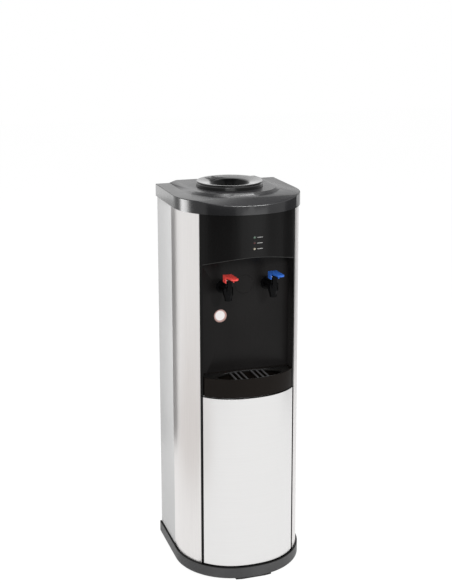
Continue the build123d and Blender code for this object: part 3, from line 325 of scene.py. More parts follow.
@dataclass(frozen=True)
class Moulding(Finish):
    """Moulded plastic or rubber: a faint mottle, a fine grain and a skin gloss.

    From a height up it may be painted black as shade in a shadow gap, satin, or a polished lip.
    """

    colour: Colour
    roughness: float
    gloss: float = 0.5
    coat: float = 0.0
    grain: float = 900.0
    depth: float = 0.00001
    mottle: float = 0.12
    spread: float = 0.08
    broad: float = 7.0
    wiped: Point = (22.0, 22.0, 5.0)
    coat_roughness: float = 0.06
    # The span and colour of a painted shade band, standing for the shadow in a gap.
    painted_gap_shade: Span | None = None
    painted_gap_shade_colour: Colour = (0.004, 0.004, 0.004)
    satin: Span | None = None
    satin_roughness: float = 0.29
    lip: Span | None = None

    def face(self, sheet: FinishSheet) -> Socket:
        """Mix the colour of the surface.

        Args:
            sheet: The material's nodes.

        Returns:
            The colour's socket.
        """
        broad = sheet.noise(self.broad, detail=3.0)
        face = sheet.mottled(broad.step(*MIDDLE), self.colour, self.mottle)
        # Painted shade: black from a height up, for the shadow in the gap above the plinth.
        if self.painted_gap_shade:
            face = sheet.blend(sheet.axis(2).step(*self.painted_gap_shade), face, self.painted_gap_shade_colour)
        return face

    def write(self, sheet: FinishSheet) -> None:
        """Write the nodes.

        Args:
            sheet: The material that they go into.
        """
        fine = sheet.noise(self.grain)
        wiped = sheet.noise(*self.wiped)
        skin = self.roughness + wiped.sway(self.spread) + fine.sway(self.spread)
        coat = self.coat
        if self.satin:
            rise = self.satin_roughness - self.roughness
            skin = skin + sheet.axis(2).step(*self.satin) * rise
        if self.lip:
            coat = sheet.axis(2).step(*self.lip) * coat
        sheet.put(
            base_color=self.face(sheet), roughness=skin, specular_ior_level=self.gloss,
            coat_weight=coat, coat_roughness=self.coat_roughness,
        )
        sheet.bump(fine, self.depth)


@dataclass(frozen=True)
class RibbedMoulding(Moulding):
    """A grille moulding whose middle ribs are painted lighter than the field round them: a painted
    highlight on their tops.
    """

    centre: Span = (0.0, 0.0)
    half: Span = (1.0, 1.0)
    top: float = 0.0
    rim: Span = (1.04, 1.1)
    skin: Span = (0.9 * MM, 0.4 * MM)
    highlight_band: Span = (0.5, 0.8)
    rib_highlight_colour: Colour = (0.1, 0.1, 0.102)

    def face(self, sheet: FinishSheet) -> Socket:
        """Mix the colour of the surface.

        Args:
            sheet: The material's nodes.

        Returns:
            The colour's socket.
        """
        # Painted highlight: the tops of the middle ribs take a lighter colour, for the light they
        # catch.
        x, y = ((sheet.axis(k) - self.centre[k]) * (1 / self.half[k]) for k in (0, 1))
        inside = 1 - (x * x + y * y).step(*self.rim)
        highlight_middle = 1 - (x * x).step(*(share**2 for share in self.highlight_band))
        upper = sheet.axis(2).step(*(self.top - depth for depth in self.skin))
        return sheet.blend(inside * highlight_middle * upper, super().face(sheet), self.rib_highlight_colour)


@dataclass(frozen=True)
class BrushedSteel(Finish):
    """Stainless sheet with a brushed grain and faint long streaks."""

    tone: Colour
    roughness: float
    grain: Grain = Grain.LEVEL
    streak: float = 0.05
    depth: float = 0.000004
    coarse: float = 0.16
    coarse_share: float = 0.1
    line_spread: float = 0.1
    broad: float = 4.0
    broad_spread: float = 0.05

    def write(self, sheet: FinishSheet) -> None:
        """Write the nodes.

        Args:
            sheet: The material that they go into.
        """
        fine = sheet.noise(*self.grain.value, detail=3.0)
        coarse = sheet.noise(*(waves * self.coarse for waves in self.grain.value))
        broad = sheet.noise(self.broad)
        line = fine * (1 - self.coarse_share) + coarse * self.coarse_share
        uneven = line.sway(self.line_spread)
        sheet.put(
            base_color=sheet.mottled(line.step(*MIDDLE), self.tone, self.streak),
            metallic=1.0,
            roughness=self.roughness + uneven + broad.sway(self.broad_spread),
        )
        sheet.bump(fine, self.depth)


@dataclass(frozen=True)
class SeamedSide(Finish):
    """A side sheet: painted flat, bare brushed steel round the corner, a pressed seam between with
    painted shade in its groove.
    """

    steel: Colour
    paint: Colour
    roughness: float
    seam_y: float
    seam_w: float = 0.7 * MM
    bleed: float = 0.1 * MM
    mottle: float = 0.03
    seam_shade_share: float = 0.75
    seam_tone: float = 0.2
    gloss: float = 0.08
    fine_spread: float = 0.12
    broad_spread: float = 0.05
    paint_rougher: float = 0.06
    depth: float = 0.0002
    peel_share: float = 0.1
    fine_share: float = 0.05
    peel: float = 420.0
    broad: float = 4.0

    def write(self, sheet: FinishSheet) -> None:
        """Write the nodes.

        Args:
            sheet: The material that they go into.
        """
        fine = sheet.noise(*Grain.UPRIGHT.value, detail=3.0)
        peel = sheet.noise(self.peel)
        broad = sheet.noise(self.broad)
        along = sheet.axis(1)
        flat = along.step(self.seam_y - self.bleed, self.seam_y + self.bleed)
        fall = along.step(self.seam_y, self.seam_y + self.seam_w)
        # The groove mask darkens the colour below towards a dark steel tone, painted shade of the
        # gap between the sheets; it also sinks the bump.
        groove = along.step(self.seam_y - self.seam_w, self.seam_y) * (1 - fall)
        bare = sheet.mottled(fine.step(*MIDDLE), self.steel, self.mottle)
        coat = sheet.mottled(broad.step(*MIDDLE), self.paint, self.mottle)
        face = sheet.blend(flat, bare, coat)
        uneven = fine.sway(self.fine_spread) + broad.sway(self.broad_spread)
        sheet.put(
            base_color=sheet.blend(
                groove * self.seam_shade_share, face, shaded(self.steel, self.seam_tone)
            ),
            metallic=1 - flat,
            roughness=self.roughness + uneven + flat * self.paint_rougher,
            specular_ior_level=self.gloss,
        )
        sheet.bump(peel * flat * self.peel_share + fine * self.fine_share - groove, self.depth)


@dataclass(frozen=True)
class CoatedSheet(Finish):
    """Zinc-coated or painted sheet: crystal patches over a fine tooth."""

    tone: Colour
    roughness: float
    metallic: float = 0.0
    patch: float = 160.0
    contrast: float = 0.08
    tooth: float = 1100.0
    depth: float = 0.00002
    patch_share: float = 0.7
    tooth_share: float = 0.5
    edge: Span = (0.2, 0.8)
    spread: float = 0.15
    patch_middle: float = 0.4

    def write(self, sheet: FinishSheet) -> None:
        """Write the nodes.

        Args:
            sheet: The material that they go into.
        """
        patch = sheet.cells(self.patch)
        fine = sheet.noise(self.tooth)
        mask = (patch * self.patch_share + fine * self.tooth_share).step(*self.edge)
        sheet.put(
            base_color=sheet.mottled(mask, self.tone, self.contrast),
            metallic=self.metallic,
            roughness=self.roughness + patch.sway(self.spread, self.patch_middle),
        )
        sheet.bump(fine, self.depth)


@dataclass(frozen=True)
class BeadFoam(Finish):
    """Expanded bead foam, with the beads pressed flat at the skin."""

    tone: Colour
    bead: float = 240.0
    seam: Span = (0.35, 0.6)
    seam_tone: float = 0.8
    seam_rougher: float = 0.15
    roughness: float = 0.75
    gloss: float = 0.3
    depth: float = 0.0006

    def write(self, sheet: FinishSheet) -> None:
        """Write the nodes.

        Args:
            sheet: The material that they go into.
        """
        bead = sheet.cells(self.bead)
        seam = bead.step(*self.seam)
        sheet.put(
            base_color=sheet.blend(seam, self.tone, shaded(self.tone, self.seam_tone)),
            roughness=self.roughness + seam * self.seam_rougher,
            specular_ior_level=self.gloss,
        )
        sheet.bump(1 - bead, self.depth)


@dataclass(frozen=True)
class ClearMoulding(Finish):
    """A tinted lens or a milky hose that lets some light in."""

    colour: Colour
    roughness: float
    glow: float = 0.0
    clear: float = 0.2
    cloud: float = 160.0
    tones: Span = (0.85, 1.1)
    spread: float = 0.08

    def write(self, sheet: FinishSheet) -> None:
        """Write the nodes.

        Args:
            sheet: The material that they go into.
        """
        cloud = sheet.noise(self.cloud)
        ends = (shaded(self.colour, share) for share in self.tones)
        tint = sheet.blend(cloud.step(*MIDDLE), *ends)
        sheet.put(
            base_color=tint,
            roughness=self.roughness + cloud.sway(self.spread),
            transmission_weight=self.clear,
            emission_color=tint,
            emission_strength=self.glow,
        )


@dataclass(frozen=True)
class Laminate(Finish):
    """A circuit board: green laminate with lighter tracks."""

    board: Colour
    track: Colour
    waves: Point = (90.0, 90.0, 620.0)
    rise: Span = (0.5, 0.53)
    fall: Span = (0.57, 0.6)
    roughness: float = 0.42
    track_smoother: float = 0.1
    depth: float = 0.00004

    def write(self, sheet: FinishSheet) -> None:
        """Write the nodes.

        Args:
            sheet: The material that they go into.
        """
        tracks = sheet.noise(*self.waves, detail=0.0)
        mask = tracks.step(*self.rise) - tracks.step(*self.fall)
        sheet.put(
            base_color=sheet.blend(mask, self.board, self.track),
            roughness=self.roughness - mask * self.track_smoother,
        )
        sheet.bump(mask, self.depth)


@dataclass(frozen=True)
class RoundSticker(Finish):
    """A plain round sticker: a white field inside a soft ring."""

    centre: Point
    field_r: float
    field: Colour = (0.86, 0.83, 0.82)
    ring: Colour = (0.44, 0.27, 0.24)
    fade: float = 1.2 * MM
    ragged: float = 0.3 * MM
    paper: float = 500.0
    roughness: float = 0.34
    spread: float = 0.12
    depth: float = 0.00001

    def write(self, sheet: FinishSheet) -> None:
        """Write the nodes.

        Args:
            sheet: The material that they go into.
        """
        paper = sheet.noise(self.paper, detail=3.0)
        reach = sheet.radius(self.centre) + paper.sway(self.ragged)
        edge = reach.step(self.field_r, self.field_r + self.fade)
        sheet.put(
            base_color=sheet.blend(edge, self.field, self.ring),
            roughness=self.roughness + paper.sway(self.spread),
        )
        sheet.bump(paper, self.depth)


POLISHED = 0.000008

LID_GLOSS = Moulding(
    "lid_gloss", (0.0045, 0.0045, 0.0048), 0.2, gloss=0.33, grain=260.0, depth=POLISHED,
    satin=(926.5 * MM, 927.8 * MM),
)
COLLAR_GLOSS = Moulding(
    "collar_gloss", (0.0042, 0.0042, 0.0044), 0.2, gloss=0.12, coat=1.0, grain=300.0,
    depth=POLISHED, lip=(939.5 * MM, 942 * MM),
)
FASCIA_BLACK = Moulding(
    "fascia_black", (0.0048, 0.0046, 0.0046), 0.28, gloss=0.1, grain=700.0
)
NICHE_BLACK = Moulding(
    "niche_black", (0.0064, 0.0060, 0.0059), 0.27, gloss=0.1, grain=600.0
)
TRAY_BLACK = Moulding("tray_black", (0.0095, 0.0076, 0.0064), 0.34, gloss=0.06)
# A bead lighter than the black fascia: a painted highlight along the arch's lower edge.
ARCH_HIGHLIGHT_BEAD = Moulding("arch_edge", (0.03, 0.03, 0.029), 0.3, gloss=0.4)
TAP_BLACK = Moulding(
    "tap_black", (0.0018, 0.0018, 0.0020), 0.2, gloss=0.07, grain=500.0, depth=POLISHED
)
LEVER_RED = Moulding(
    "lever_red", (0.84, 0.078, 0.066), 0.26, gloss=0.3, grain=400.0, depth=POLISHED,
    mottle=0.06,
)
LEVER_BLUE = replace(LEVER_RED, name="lever_blue", colour=(0.034, 0.150, 0.60))
ROCKER_GREEN = Moulding(
    "rocker_green", (0.03, 0.33, 0.09), 0.3, coat=0.1, grain=400.0, depth=POLISHED,
    mottle=0.06,
)
# The plinth's top band is painted black: painted shade of the gap under the side sheets.
BASE_GREY = Moulding(
    "base_grey", (0.076, 0.076, 0.077), 0.42, gloss=0.14, grain=800.0, depth=0.00004,
    painted_gap_shade=(28.6 * MM, 29.8 * MM),
)
DARK_RUBBER = Moulding(
    "dark_rubber", (0.018, 0.018, 0.018), 0.72, gloss=0.3, grain=500.0, depth=0.00006,
    mottle=0.2,
)
LINER_BLACK = Moulding(
    "liner_black", (0.020, 0.020, 0.021), 0.5, gloss=0.35, grain=650.0, depth=0.00005
)
ACETAL_WHITE = Moulding(
    "acetal_white", (0.74, 0.74, 0.71), 0.38, grain=500.0, mottle=0.04
)
MARK_GREY = Moulding(
    "mark_grey", (0.46, 0.46, 0.45), 0.5, gloss=0.3, grain=1500.0, depth=0.000004, mottle=0.1
)
# The grille's finish paints a highlight on the tops of its middle ribs.
GRILLE_BLACK = RibbedMoulding("grille_black", (0.012, 0.0115, 0.011), 0.3, gloss=0.3)
SIDE_SHEET = SeamedSide(
    "side_sheet", (0.76, 0.742, 0.732), (0.585, 0.585, 0.583), 0.34, seam_y=31 * MM
)
DOOR_STEEL = BrushedSteel("door_steel", (0.78, 0.775, 0.77), 0.33, streak=0.014)
TANK_STEEL = BrushedSteel("tank_steel", (0.66, 0.66, 0.67), 0.28, streak=0.08)
BRIGHT_STEEL = BrushedSteel("bright_steel", (0.62, 0.62, 0.62), 0.24, Grain.UPRIGHT, 0.06)
SINK_ALUMINIUM = BrushedSteel("sink_aluminium", (0.72, 0.72, 0.73), 0.4, Grain.UPRIGHT)
REAR_SHEET = CoatedSheet("rear_sheet", (0.40, 0.41, 0.42), 0.46, metallic=0.35)
ZINC_SHEET = CoatedSheet(
    "zinc_sheet", (0.52, 0.53, 0.54), 0.4, metallic=0.85, patch=110.0, contrast=0.14
)
WHITE_FOAM = BeadFoam("white_foam", (0.80, 0.80, 0.78))
MILKY_SILICONE = ClearMoulding("milky_silicone", (0.78, 0.78, 0.74), 0.36, clear=0.3)
LENS_GREEN = ClearMoulding("lens_green", (0.10, 0.17, 0.12), 0.2, glow=0.02)
LENS_RED = ClearMoulding("lens_red", (0.07, 0.012, 0.010), 0.2)
LENS_AMBER = ClearMoulding("lens_amber", (0.42, 0.38, 0.29), 0.2, glow=0.04)
BOARD_GREEN = Laminate("board_green", (0.015, 0.16, 0.055), (0.09, 0.34, 0.13))


def placed(name: str, data: bpy.types.ID) -> Object:
    """Put a new object in the scene.

    Args:
        name: Its name.
        data: Its mesh, lamp or camera.

    Returns:
        The object.
    """
    thing = bpy.data.objects.new(name, data)
    bpy.context.scene.collection.objects.link(thing)
    return thing


class GeometrySheet(NodeSheet):
    """A Geometry Nodes tree with named inputs, ending in Realize Instances and Set Material."""

    def __init__(self, name: str, inputs: dict[str, str]) -> None:
        """Make the tree.

        Args:
            name: The tree's name.
            inputs: Each input's socket type, without its NodeSocket. Finish is added to them.
        """
        super().__init__(bpy.data.node_groups.new(name, "GeometryNodeTree"))
        make = self.tree.interface.new_socket
        make("Geometry", in_out="OUTPUT", socket_type="NodeSocketGeometry")
        self.keys = {}
        for label, kind in {**inputs, "Finish": "Material"}.items():
            socket = make(label, in_out="INPUT", socket_type="NodeSocket" + kind)
            self.keys[label] = socket.identifier
        self.given = self.add("NodeGroupInput").outputs

    def shape(self, label: str) -> Socket:
        """The geometry of an object that comes in by an input."""
        info = self.add("GeometryNodeObjectInfo", {"Object": self.given[label]})
        return info.outputs["Geometry"]

    def close(self, shape: Node) -> None:
        """End the tree with plain, finished geometry.

        Args:
            shape: The node that the geometry comes from.
        """
        real = self.add("GeometryNodeRealizeInstances", {"Geometry": shape})
        sockets = {"Geometry": real, "Material": self.given["Finish"]}
        skin = self.add("GeometryNodeSetMaterial", sockets)
        self.add("NodeGroupOutput", {"Geometry": skin})

    def grow(
        self, name: str, finish: Finish, body: str, slot: str, values: dict, smooth: bool = False
    ) -> Object:
        """Run the tree once and settle its result as a plain piece.

        Args:
            name: The piece's name.
            finish: What its surface is.
            body: The CAD body it moves with.
            slot: Not used.
            values: A value for each input but Finish.
            smooth: Whether all of it is shaded smooth.

        Returns:
            The piece.
        """
        carrier = placed(name, bpy.data.meshes.new(name + "_seed"))
        modifier = carrier.modifiers.new("grow", "NODES")
        modifier.node_group = self.tree
        for label, value in {**values, "Finish": finish.material()}.items():
            modifier[self.keys[label]] = value
        bpy.context.view_layer.update()
        shown = carrier.evaluated_get(bpy.context.evaluated_depsgraph_get())
        mesh = bpy.data.meshes.new_from_object(shown)
        bpy.data.objects.remove(carrier)
        mesh.name = name
        if smooth:
            mesh.shade_smooth()
        return settle(mesh, name, finish, body)


def grid_tree() -> GeometrySheet:
    """Write a tree that sets a piece on the points of an upright grid that faces the back.

    Returns:
        The tree.
    """
    sheet = GeometrySheet("upright_grid", {
        "Piece": "Object", "Columns": "Int", "Rows": "Int", "Width": "Float", "Height": "Float",
        "Centre": "Vector",
    })
    given = sheet.given
    grid = sheet.add("GeometryNodeMeshGrid", {
        "Size X": given["Width"], "Size Y": given["Height"],
        "Vertices X": given["Columns"], "Vertices Y": given["Rows"],
    })
    stood = sheet.add("GeometryNodeTransform", {
        "Geometry": grid, "Translation": given["Centre"],
        "Rotation": (math.pi / 2, 0.0, 0.0),
    })
    sheet.close(sheet.add("GeometryNodeInstanceOnPoints", {
        "Points": stood, "Instance": sheet.shape("Piece"),
    }))
    return sheet


def ring_tree() -> GeometrySheet:
    """Write a tree that sets a piece round an axis that runs front to back.

    Returns:
        The tree.
    """
    sheet = GeometrySheet("turned_ring", {
        "Piece": "Object", "Count": "Int", "Radius": "Float", "Centre": "Vector",
    })
    given = sheet.given
    ring = sheet.add("GeometryNodeMeshCircle", {
        "Vertices": given["Count"], "Radius": given["Radius"],
    })
    index = Signal(sheet, sheet.add("GeometryNodeInputIndex").outputs[0])
    turn = sheet.add("ShaderNodeMath", {0: math.tau, 1: given["Count"]}, operation="DIVIDE")
    about = sheet.add("ShaderNodeCombineXYZ", {"Z": index * turn})
    spread = sheet.add("GeometryNodeInstanceOnPoints", {
        "Points": ring, "Instance": sheet.shape("Piece"), "Rotation": about,
    })
    sheet.close(sheet.add("GeometryNodeTransform", {
        "Geometry": spread, "Translation": given["Centre"],
        "Rotation": (-math.pi / 2, 0.0, 0.0),
    }))
    return sheet


def coil_tree(segments: int = 28, sides: int = 8) -> GeometrySheet:
    """Write a tree that winds a wire into an upright coil.

    Args:
        segments: Steps to each turn.
        sides: Corners of the wire's section.

    Returns:
        The tree.
    """
    sheet = GeometrySheet("wound_coil", {
        "Turns": "Float", "Radius": "Float", "Height": "Float", "Wire": "Float", "Foot": "Vector",
    })
    given = sheet.given
    line = sheet.add("GeometryNodeCurveSpiral", {
        "Resolution": segments, "Rotations": given["Turns"], "Start Radius": given["Radius"],
        "End Radius": given["Radius"], "Height": given["Height"],
    })
    wire = sheet.add("GeometryNodeCurvePrimitiveCircle", {
        "Resolution": sides, "Radius": given["Wire"],
    })
    tube = sheet.add("GeometryNodeCurveToMesh", {
        "Curve": line, "Profile Curve": wire, "Fill Caps": True,
    })
    sheet.close(sheet.add("GeometryNodeTransform", {
        "Geometry": tube, "Translation": given["Foot"],
    }))
    return sheet


def bead_tree(sides: int = 8) -> GeometrySheet:
    """Write a tree that runs a round bead along the edges of a wire.

    Args:
        sides: Corners of the bead's section.

    Returns:
        The tree.
    """
    sheet = GeometrySheet("edge_bead", {"Wire": "Object", "Radius": "Float"})
    line = sheet.add("GeometryNodeMeshToCurve", {"Mesh": sheet.shape("Wire")})
    ring = sheet.add("GeometryNodeCurvePrimitiveCircle", {
        "Resolution": sides, "Radius": sheet.given["Radius"],
    })
    sheet.close(sheet.add("GeometryNodeCurveToMesh", {
        "Curve": line, "Profile Curve": ring,
    }))
    return sheet


def settle(mesh: Mesh, name: str, finish: Finish, body: str) -> Object:
    """Make a finished mesh a piece of the object.

    Args:
        mesh: The mesh, in the frame's own place.
        name: The piece's name.
        finish: What its surface is.
        body: The CAD body it moves with.

    Returns:
        The piece.
    """
    piece = placed(name, mesh)
    finish.cover(mesh)
    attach(piece, body)
    LOG.info("%s rides on %s", name, body)
    return piece


def welded(node: str) -> bmesh.types.BMesh:
    """Copy a CAD node's mesh and join its doubled points.

    Args:
        node: The CAD node.

    Returns:
        The working mesh.
    """
    work = bmesh.new()
    work.from_mesh(frame["nodes"][node].data)
    bmesh.ops.remove_doubles(work, verts=work.verts, dist=WELD)
    work.verts.index_update()
    work.edges.index_update()
    return work


def smoothed(work: bmesh.types.BMesh, name: str, sharp: float) -> Mesh:
    """Turn a working mesh into a smooth one, and let the working one go.

    Args:
        work: The working mesh.
        name: The smooth mesh's name.
        sharp: The angle over which an edge stays sharp.

    Returns:
        The smooth mesh.
    """
    mesh = bpy.data.meshes.new(name)
    work.to_mesh(mesh)
    work.free()
    mesh.shade_smooth()
    mesh.set_sharp_from_angle(angle=sharp)
    return mesh


def soften(node: str, finish: Finish, edge: float, steps: int = 2) -> None:
    """Stand a smooth copy with eased edges in for a CAD node.

    Args:
        node: The CAD node.
        finish: What its surface is.
        edge: How wide its sharp edges are eased, in metres.
        steps: Segments across an eased edge.
    """
    work = welded(node)
    bmesh.ops.dissolve_limit(work, angle_limit=FLAT_ANGLE, verts=work.verts, edges=work.edges)
    name = node + "_eased"
    mesh = smoothed(work, name, EDGE_ANGLE)
    piece = settle(mesh, name, finish, frame["nodes"][node]["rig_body"])
    ease = piece.modifiers.new("ease", "BEVEL")
    ease.width = edge
    ease.segments = steps
    ease.limit_method = "ANGLE"
    ease.angle_limit = EDGE_ANGLE
    ease.harden_normals = True
    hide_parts(node)


def thicken(piece: Object, wall: float, offset: float = -1.0) -> None:
    """Give a sheet a wall.

    Args:
        piece: The sheet.
        wall: How thick it gets, in metres.
        offset: The wall's side, as Solidify counts it.
    """
    modifier = piece.modifiers.new("wall", "SOLIDIFY")
    modifier.thickness = wall
    modifier.offset = offset


def lofted(name: str, rows: Sequence[Sequence[Point]]) -> Object:
    """Lay a sheet through rows of points.

    Args:
        name: The sheet's name.
        rows: As many points in each.

    Returns:
        A loose object.
    """
    work = bmesh.new()
    grid = [[work.verts.new(p) for p in row] for row in rows]
    for low, high in zip(grid, grid[1:]):
        for corners in zip(low, low[1:], high[1:], high):
            work.faces.new(corners)
    bmesh.ops.recalc_face_normals(work, faces=work.faces)
    return bpy.data.objects.new(name, smoothed(work, name, LOFT_ANGLE))


def turned_back(name: str, profile: Sequence[Span], sides: int) -> Object:
    """Turn a solid about Y.

    Args:
        name: Its name.
        profile: Points of radius and depth, from the axis and back to it.
        sides: Corners of its section.

    Returns:
        A loose object.
    """
    work = bmesh.new()
    turn = [math.tau * k / sides for k in range(sides)]
    rings = []
    for radius, depth in profile:
        if radius == 0:
            rings.append([work.verts.new((0.0, depth, 0.0))] * sides)
        else:
            points = [(radius * math.cos(t), depth, radius * math.sin(t)) for t in turn]
            rings.append([work.verts.new(p) for p in points])
    for low, high in zip(rings, rings[1:]):
        for k in range(sides):
            after = (k + 1) % sides
            corners = (low[k], low[after], high[after], high[k])
            work.faces.new(tuple(dict.fromkeys(corners)))
    bmesh.ops.recalc_face_normals(work, faces=work.faces)
    return bpy.data.objects.new(name, smoothed(work, name, TURN_ANGLE))


def wired(name: str, work: bmesh.types.BMesh, edges: Sequence[bmesh.types.BMEdge]) -> Object:
    """Run a wire along some edges of a working mesh, and let the mesh go.

    Args:
        name: The wire's name.
        work: The working mesh.
        edges: Its edges, in any order.

    Returns:
        A loose object, in the mesh's own order.
    """
    lines = sorted(edges, key=lambda e: e.index)
    points = sorted({v for e in lines for v in e.verts}, key=lambda v: v.index)
    place = {v: k for k, v in enumerate(points)}
    mesh = bpy.data.meshes.new(name)
    mesh.from_pydata([v.co for v in points], [[place[v] for v in e.verts] for e in lines], [])
    work.free()
    return bpy.data.objects.new(name, mesh)


@dataclass
class SubAssembly:
    """Pieces that belong together, with the finishes of the CAD nodes that show as they are."""

    finishes: ClassVar[dict[Finish, tuple[str, ...]]] = {}

    def build(self) -> None:
        """Dress the plain CAD nodes, and then add the details."""
        for finish, nodes in self.finishes.items():
            for node in nodes:
                finish.cover(frame["nodes"][node].data)
                LOG.info("%s takes %s", node, finish.name)
        self.detail()

    def detail(self) -> None:
        """Add what the CAD leaves to the looks."""


@dataclass
class Cabinet(SubAssembly):
    """The steel sides, the rear sheet, the decks, the plinth and what the cabinet stands on."""

    side_edge: float = 0.25 * MM
    plinth_edge: float = 1.2 * MM
    vent_x: float = 62 * MM
    vent_rows: int = 10
    vent_pitch: float = 14 * MM
    vent_rise: float = 120.4 * MM
    vent_w: float = 84 * MM
    hood_rise: float = 2.6 * MM
    hood_up: float = 5.2 * MM
    hood_sunk: float = 0.3 * MM
    hood_wall: float = 0.5 * MM
    hood_steps: int = 12
    hood_bluntness: int = 6
    sheet_y: float = 161.25 * MM
    screw_r: float = 3.6 * MM
    screw_h: float = 2.0 * MM
    screw_rows: int = 5
    screw_sides: int = 20
    hood_outline: ClassVar[tuple[Span, ...]] = ((0.0, 1.0), (0.55, 0.72), (0.9, 0.3), (1.0, -0.25))
    screw_outline: ClassVar[tuple[Span, ...]] = (
        (0.0, 0.0), (1.0, 0.0), (1.0, 0.3), (0.86, 0.68), (0.5, 0.92), (0.42, 1.0), (0.34, 0.45),
        (0.0, 0.4),
    )
    finishes = {
        REAR_SHEET: ("back_panel",), DARK_RUBBER: ("front_skid", "rear_feet"),
        ZINC_SHEET: ("middle_deck", "tank_shelf"),
    }

    def detail(self) -> None:
        """Ease the sheets and the plinth, and add the rear details."""
        for node in ("side_panel_left", "side_panel_right"):
            soften(node, SIDE_SHEET, self.side_edge)
        soften("base_plinth", BASE_GREY, self.plinth_edge, steps=3)
        self.build_hoods()
        self.build_screws()

    def hood_row(self, share: float) -> list[Point]:
        """Find one cross-section of a vent hood.

        Args:
            share: How far along it is, from -1 to 1.

        Returns:
            Its points.
        """
        swell = max(0.0, 1 - share**self.hood_bluntness) ** 0.5
        x = share * (self.vent_w / 2 + self.hood_up / 2)
        return [
            (x, self.hood_rise * out * swell - self.hood_sunk, self.hood_up * up)
            for out, up in self.hood_outline
        ]

    def build_hoods(self) -> None:
        """Press a hood over each vent slot of the rear sheet."""
        low_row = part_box("middle_deck")[1].z + self.vent_rise
        rise = self.vent_pitch * (self.vent_rows - 1)
        steps = range(-self.hood_steps, self.hood_steps + 1)
        hood = lofted("vent_hood", [self.hood_row(k / self.hood_steps) for k in steps])
        hoods = grid_tree().grow("vent_hoods", REAR_SHEET, "cabinet", "grey_sheet", {
            "Piece": hood, "Columns": 2, "Rows": self.vent_rows, "Width": 2 * self.vent_x,
            "Height": rise, "Centre": (0.0, self.sheet_y, low_row + rise / 2),
        })
        thicken(hoods, self.hood_wall, 1.0)

    def build_screws(self) -> None:
        """Set domed screws with a hollow in place of the plain CAD pegs."""
        low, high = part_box("back_screws")
        r, h = self.screw_r, self.screw_h
        outline = [(r * out, h * up) for out, up in self.screw_outline]
        head = turned_back("screw_head", outline, self.screw_sides)
        screws = grid_tree().grow("rear_screws", BRIGHT_STEEL, "cabinet", "bright_steel", {
            "Piece": head, "Columns": 2, "Rows": self.screw_rows,
            "Width": high.x - low.x - 2 * r, "Height": high.z - low.z - 2 * r,
            "Centre": (0.0, low.y, (low.z + high.z) / 2),
        })
        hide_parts("back_screws")


@dataclass
class LidAndCollar(SubAssembly):
    """The gloss lid and the collar that takes the bottle."""

    lid_edge: float = 0.9 * MM
    collar_edge: float = 0.7 * MM

    def detail(self) -> None:
        """Ease and dress the two gloss mouldings."""
        soften("top_cover", LID_GLOSS, self.lid_edge, steps=3)
        soften("bottle_collar", COLLAR_GLOSS, self.collar_edge, steps=3)


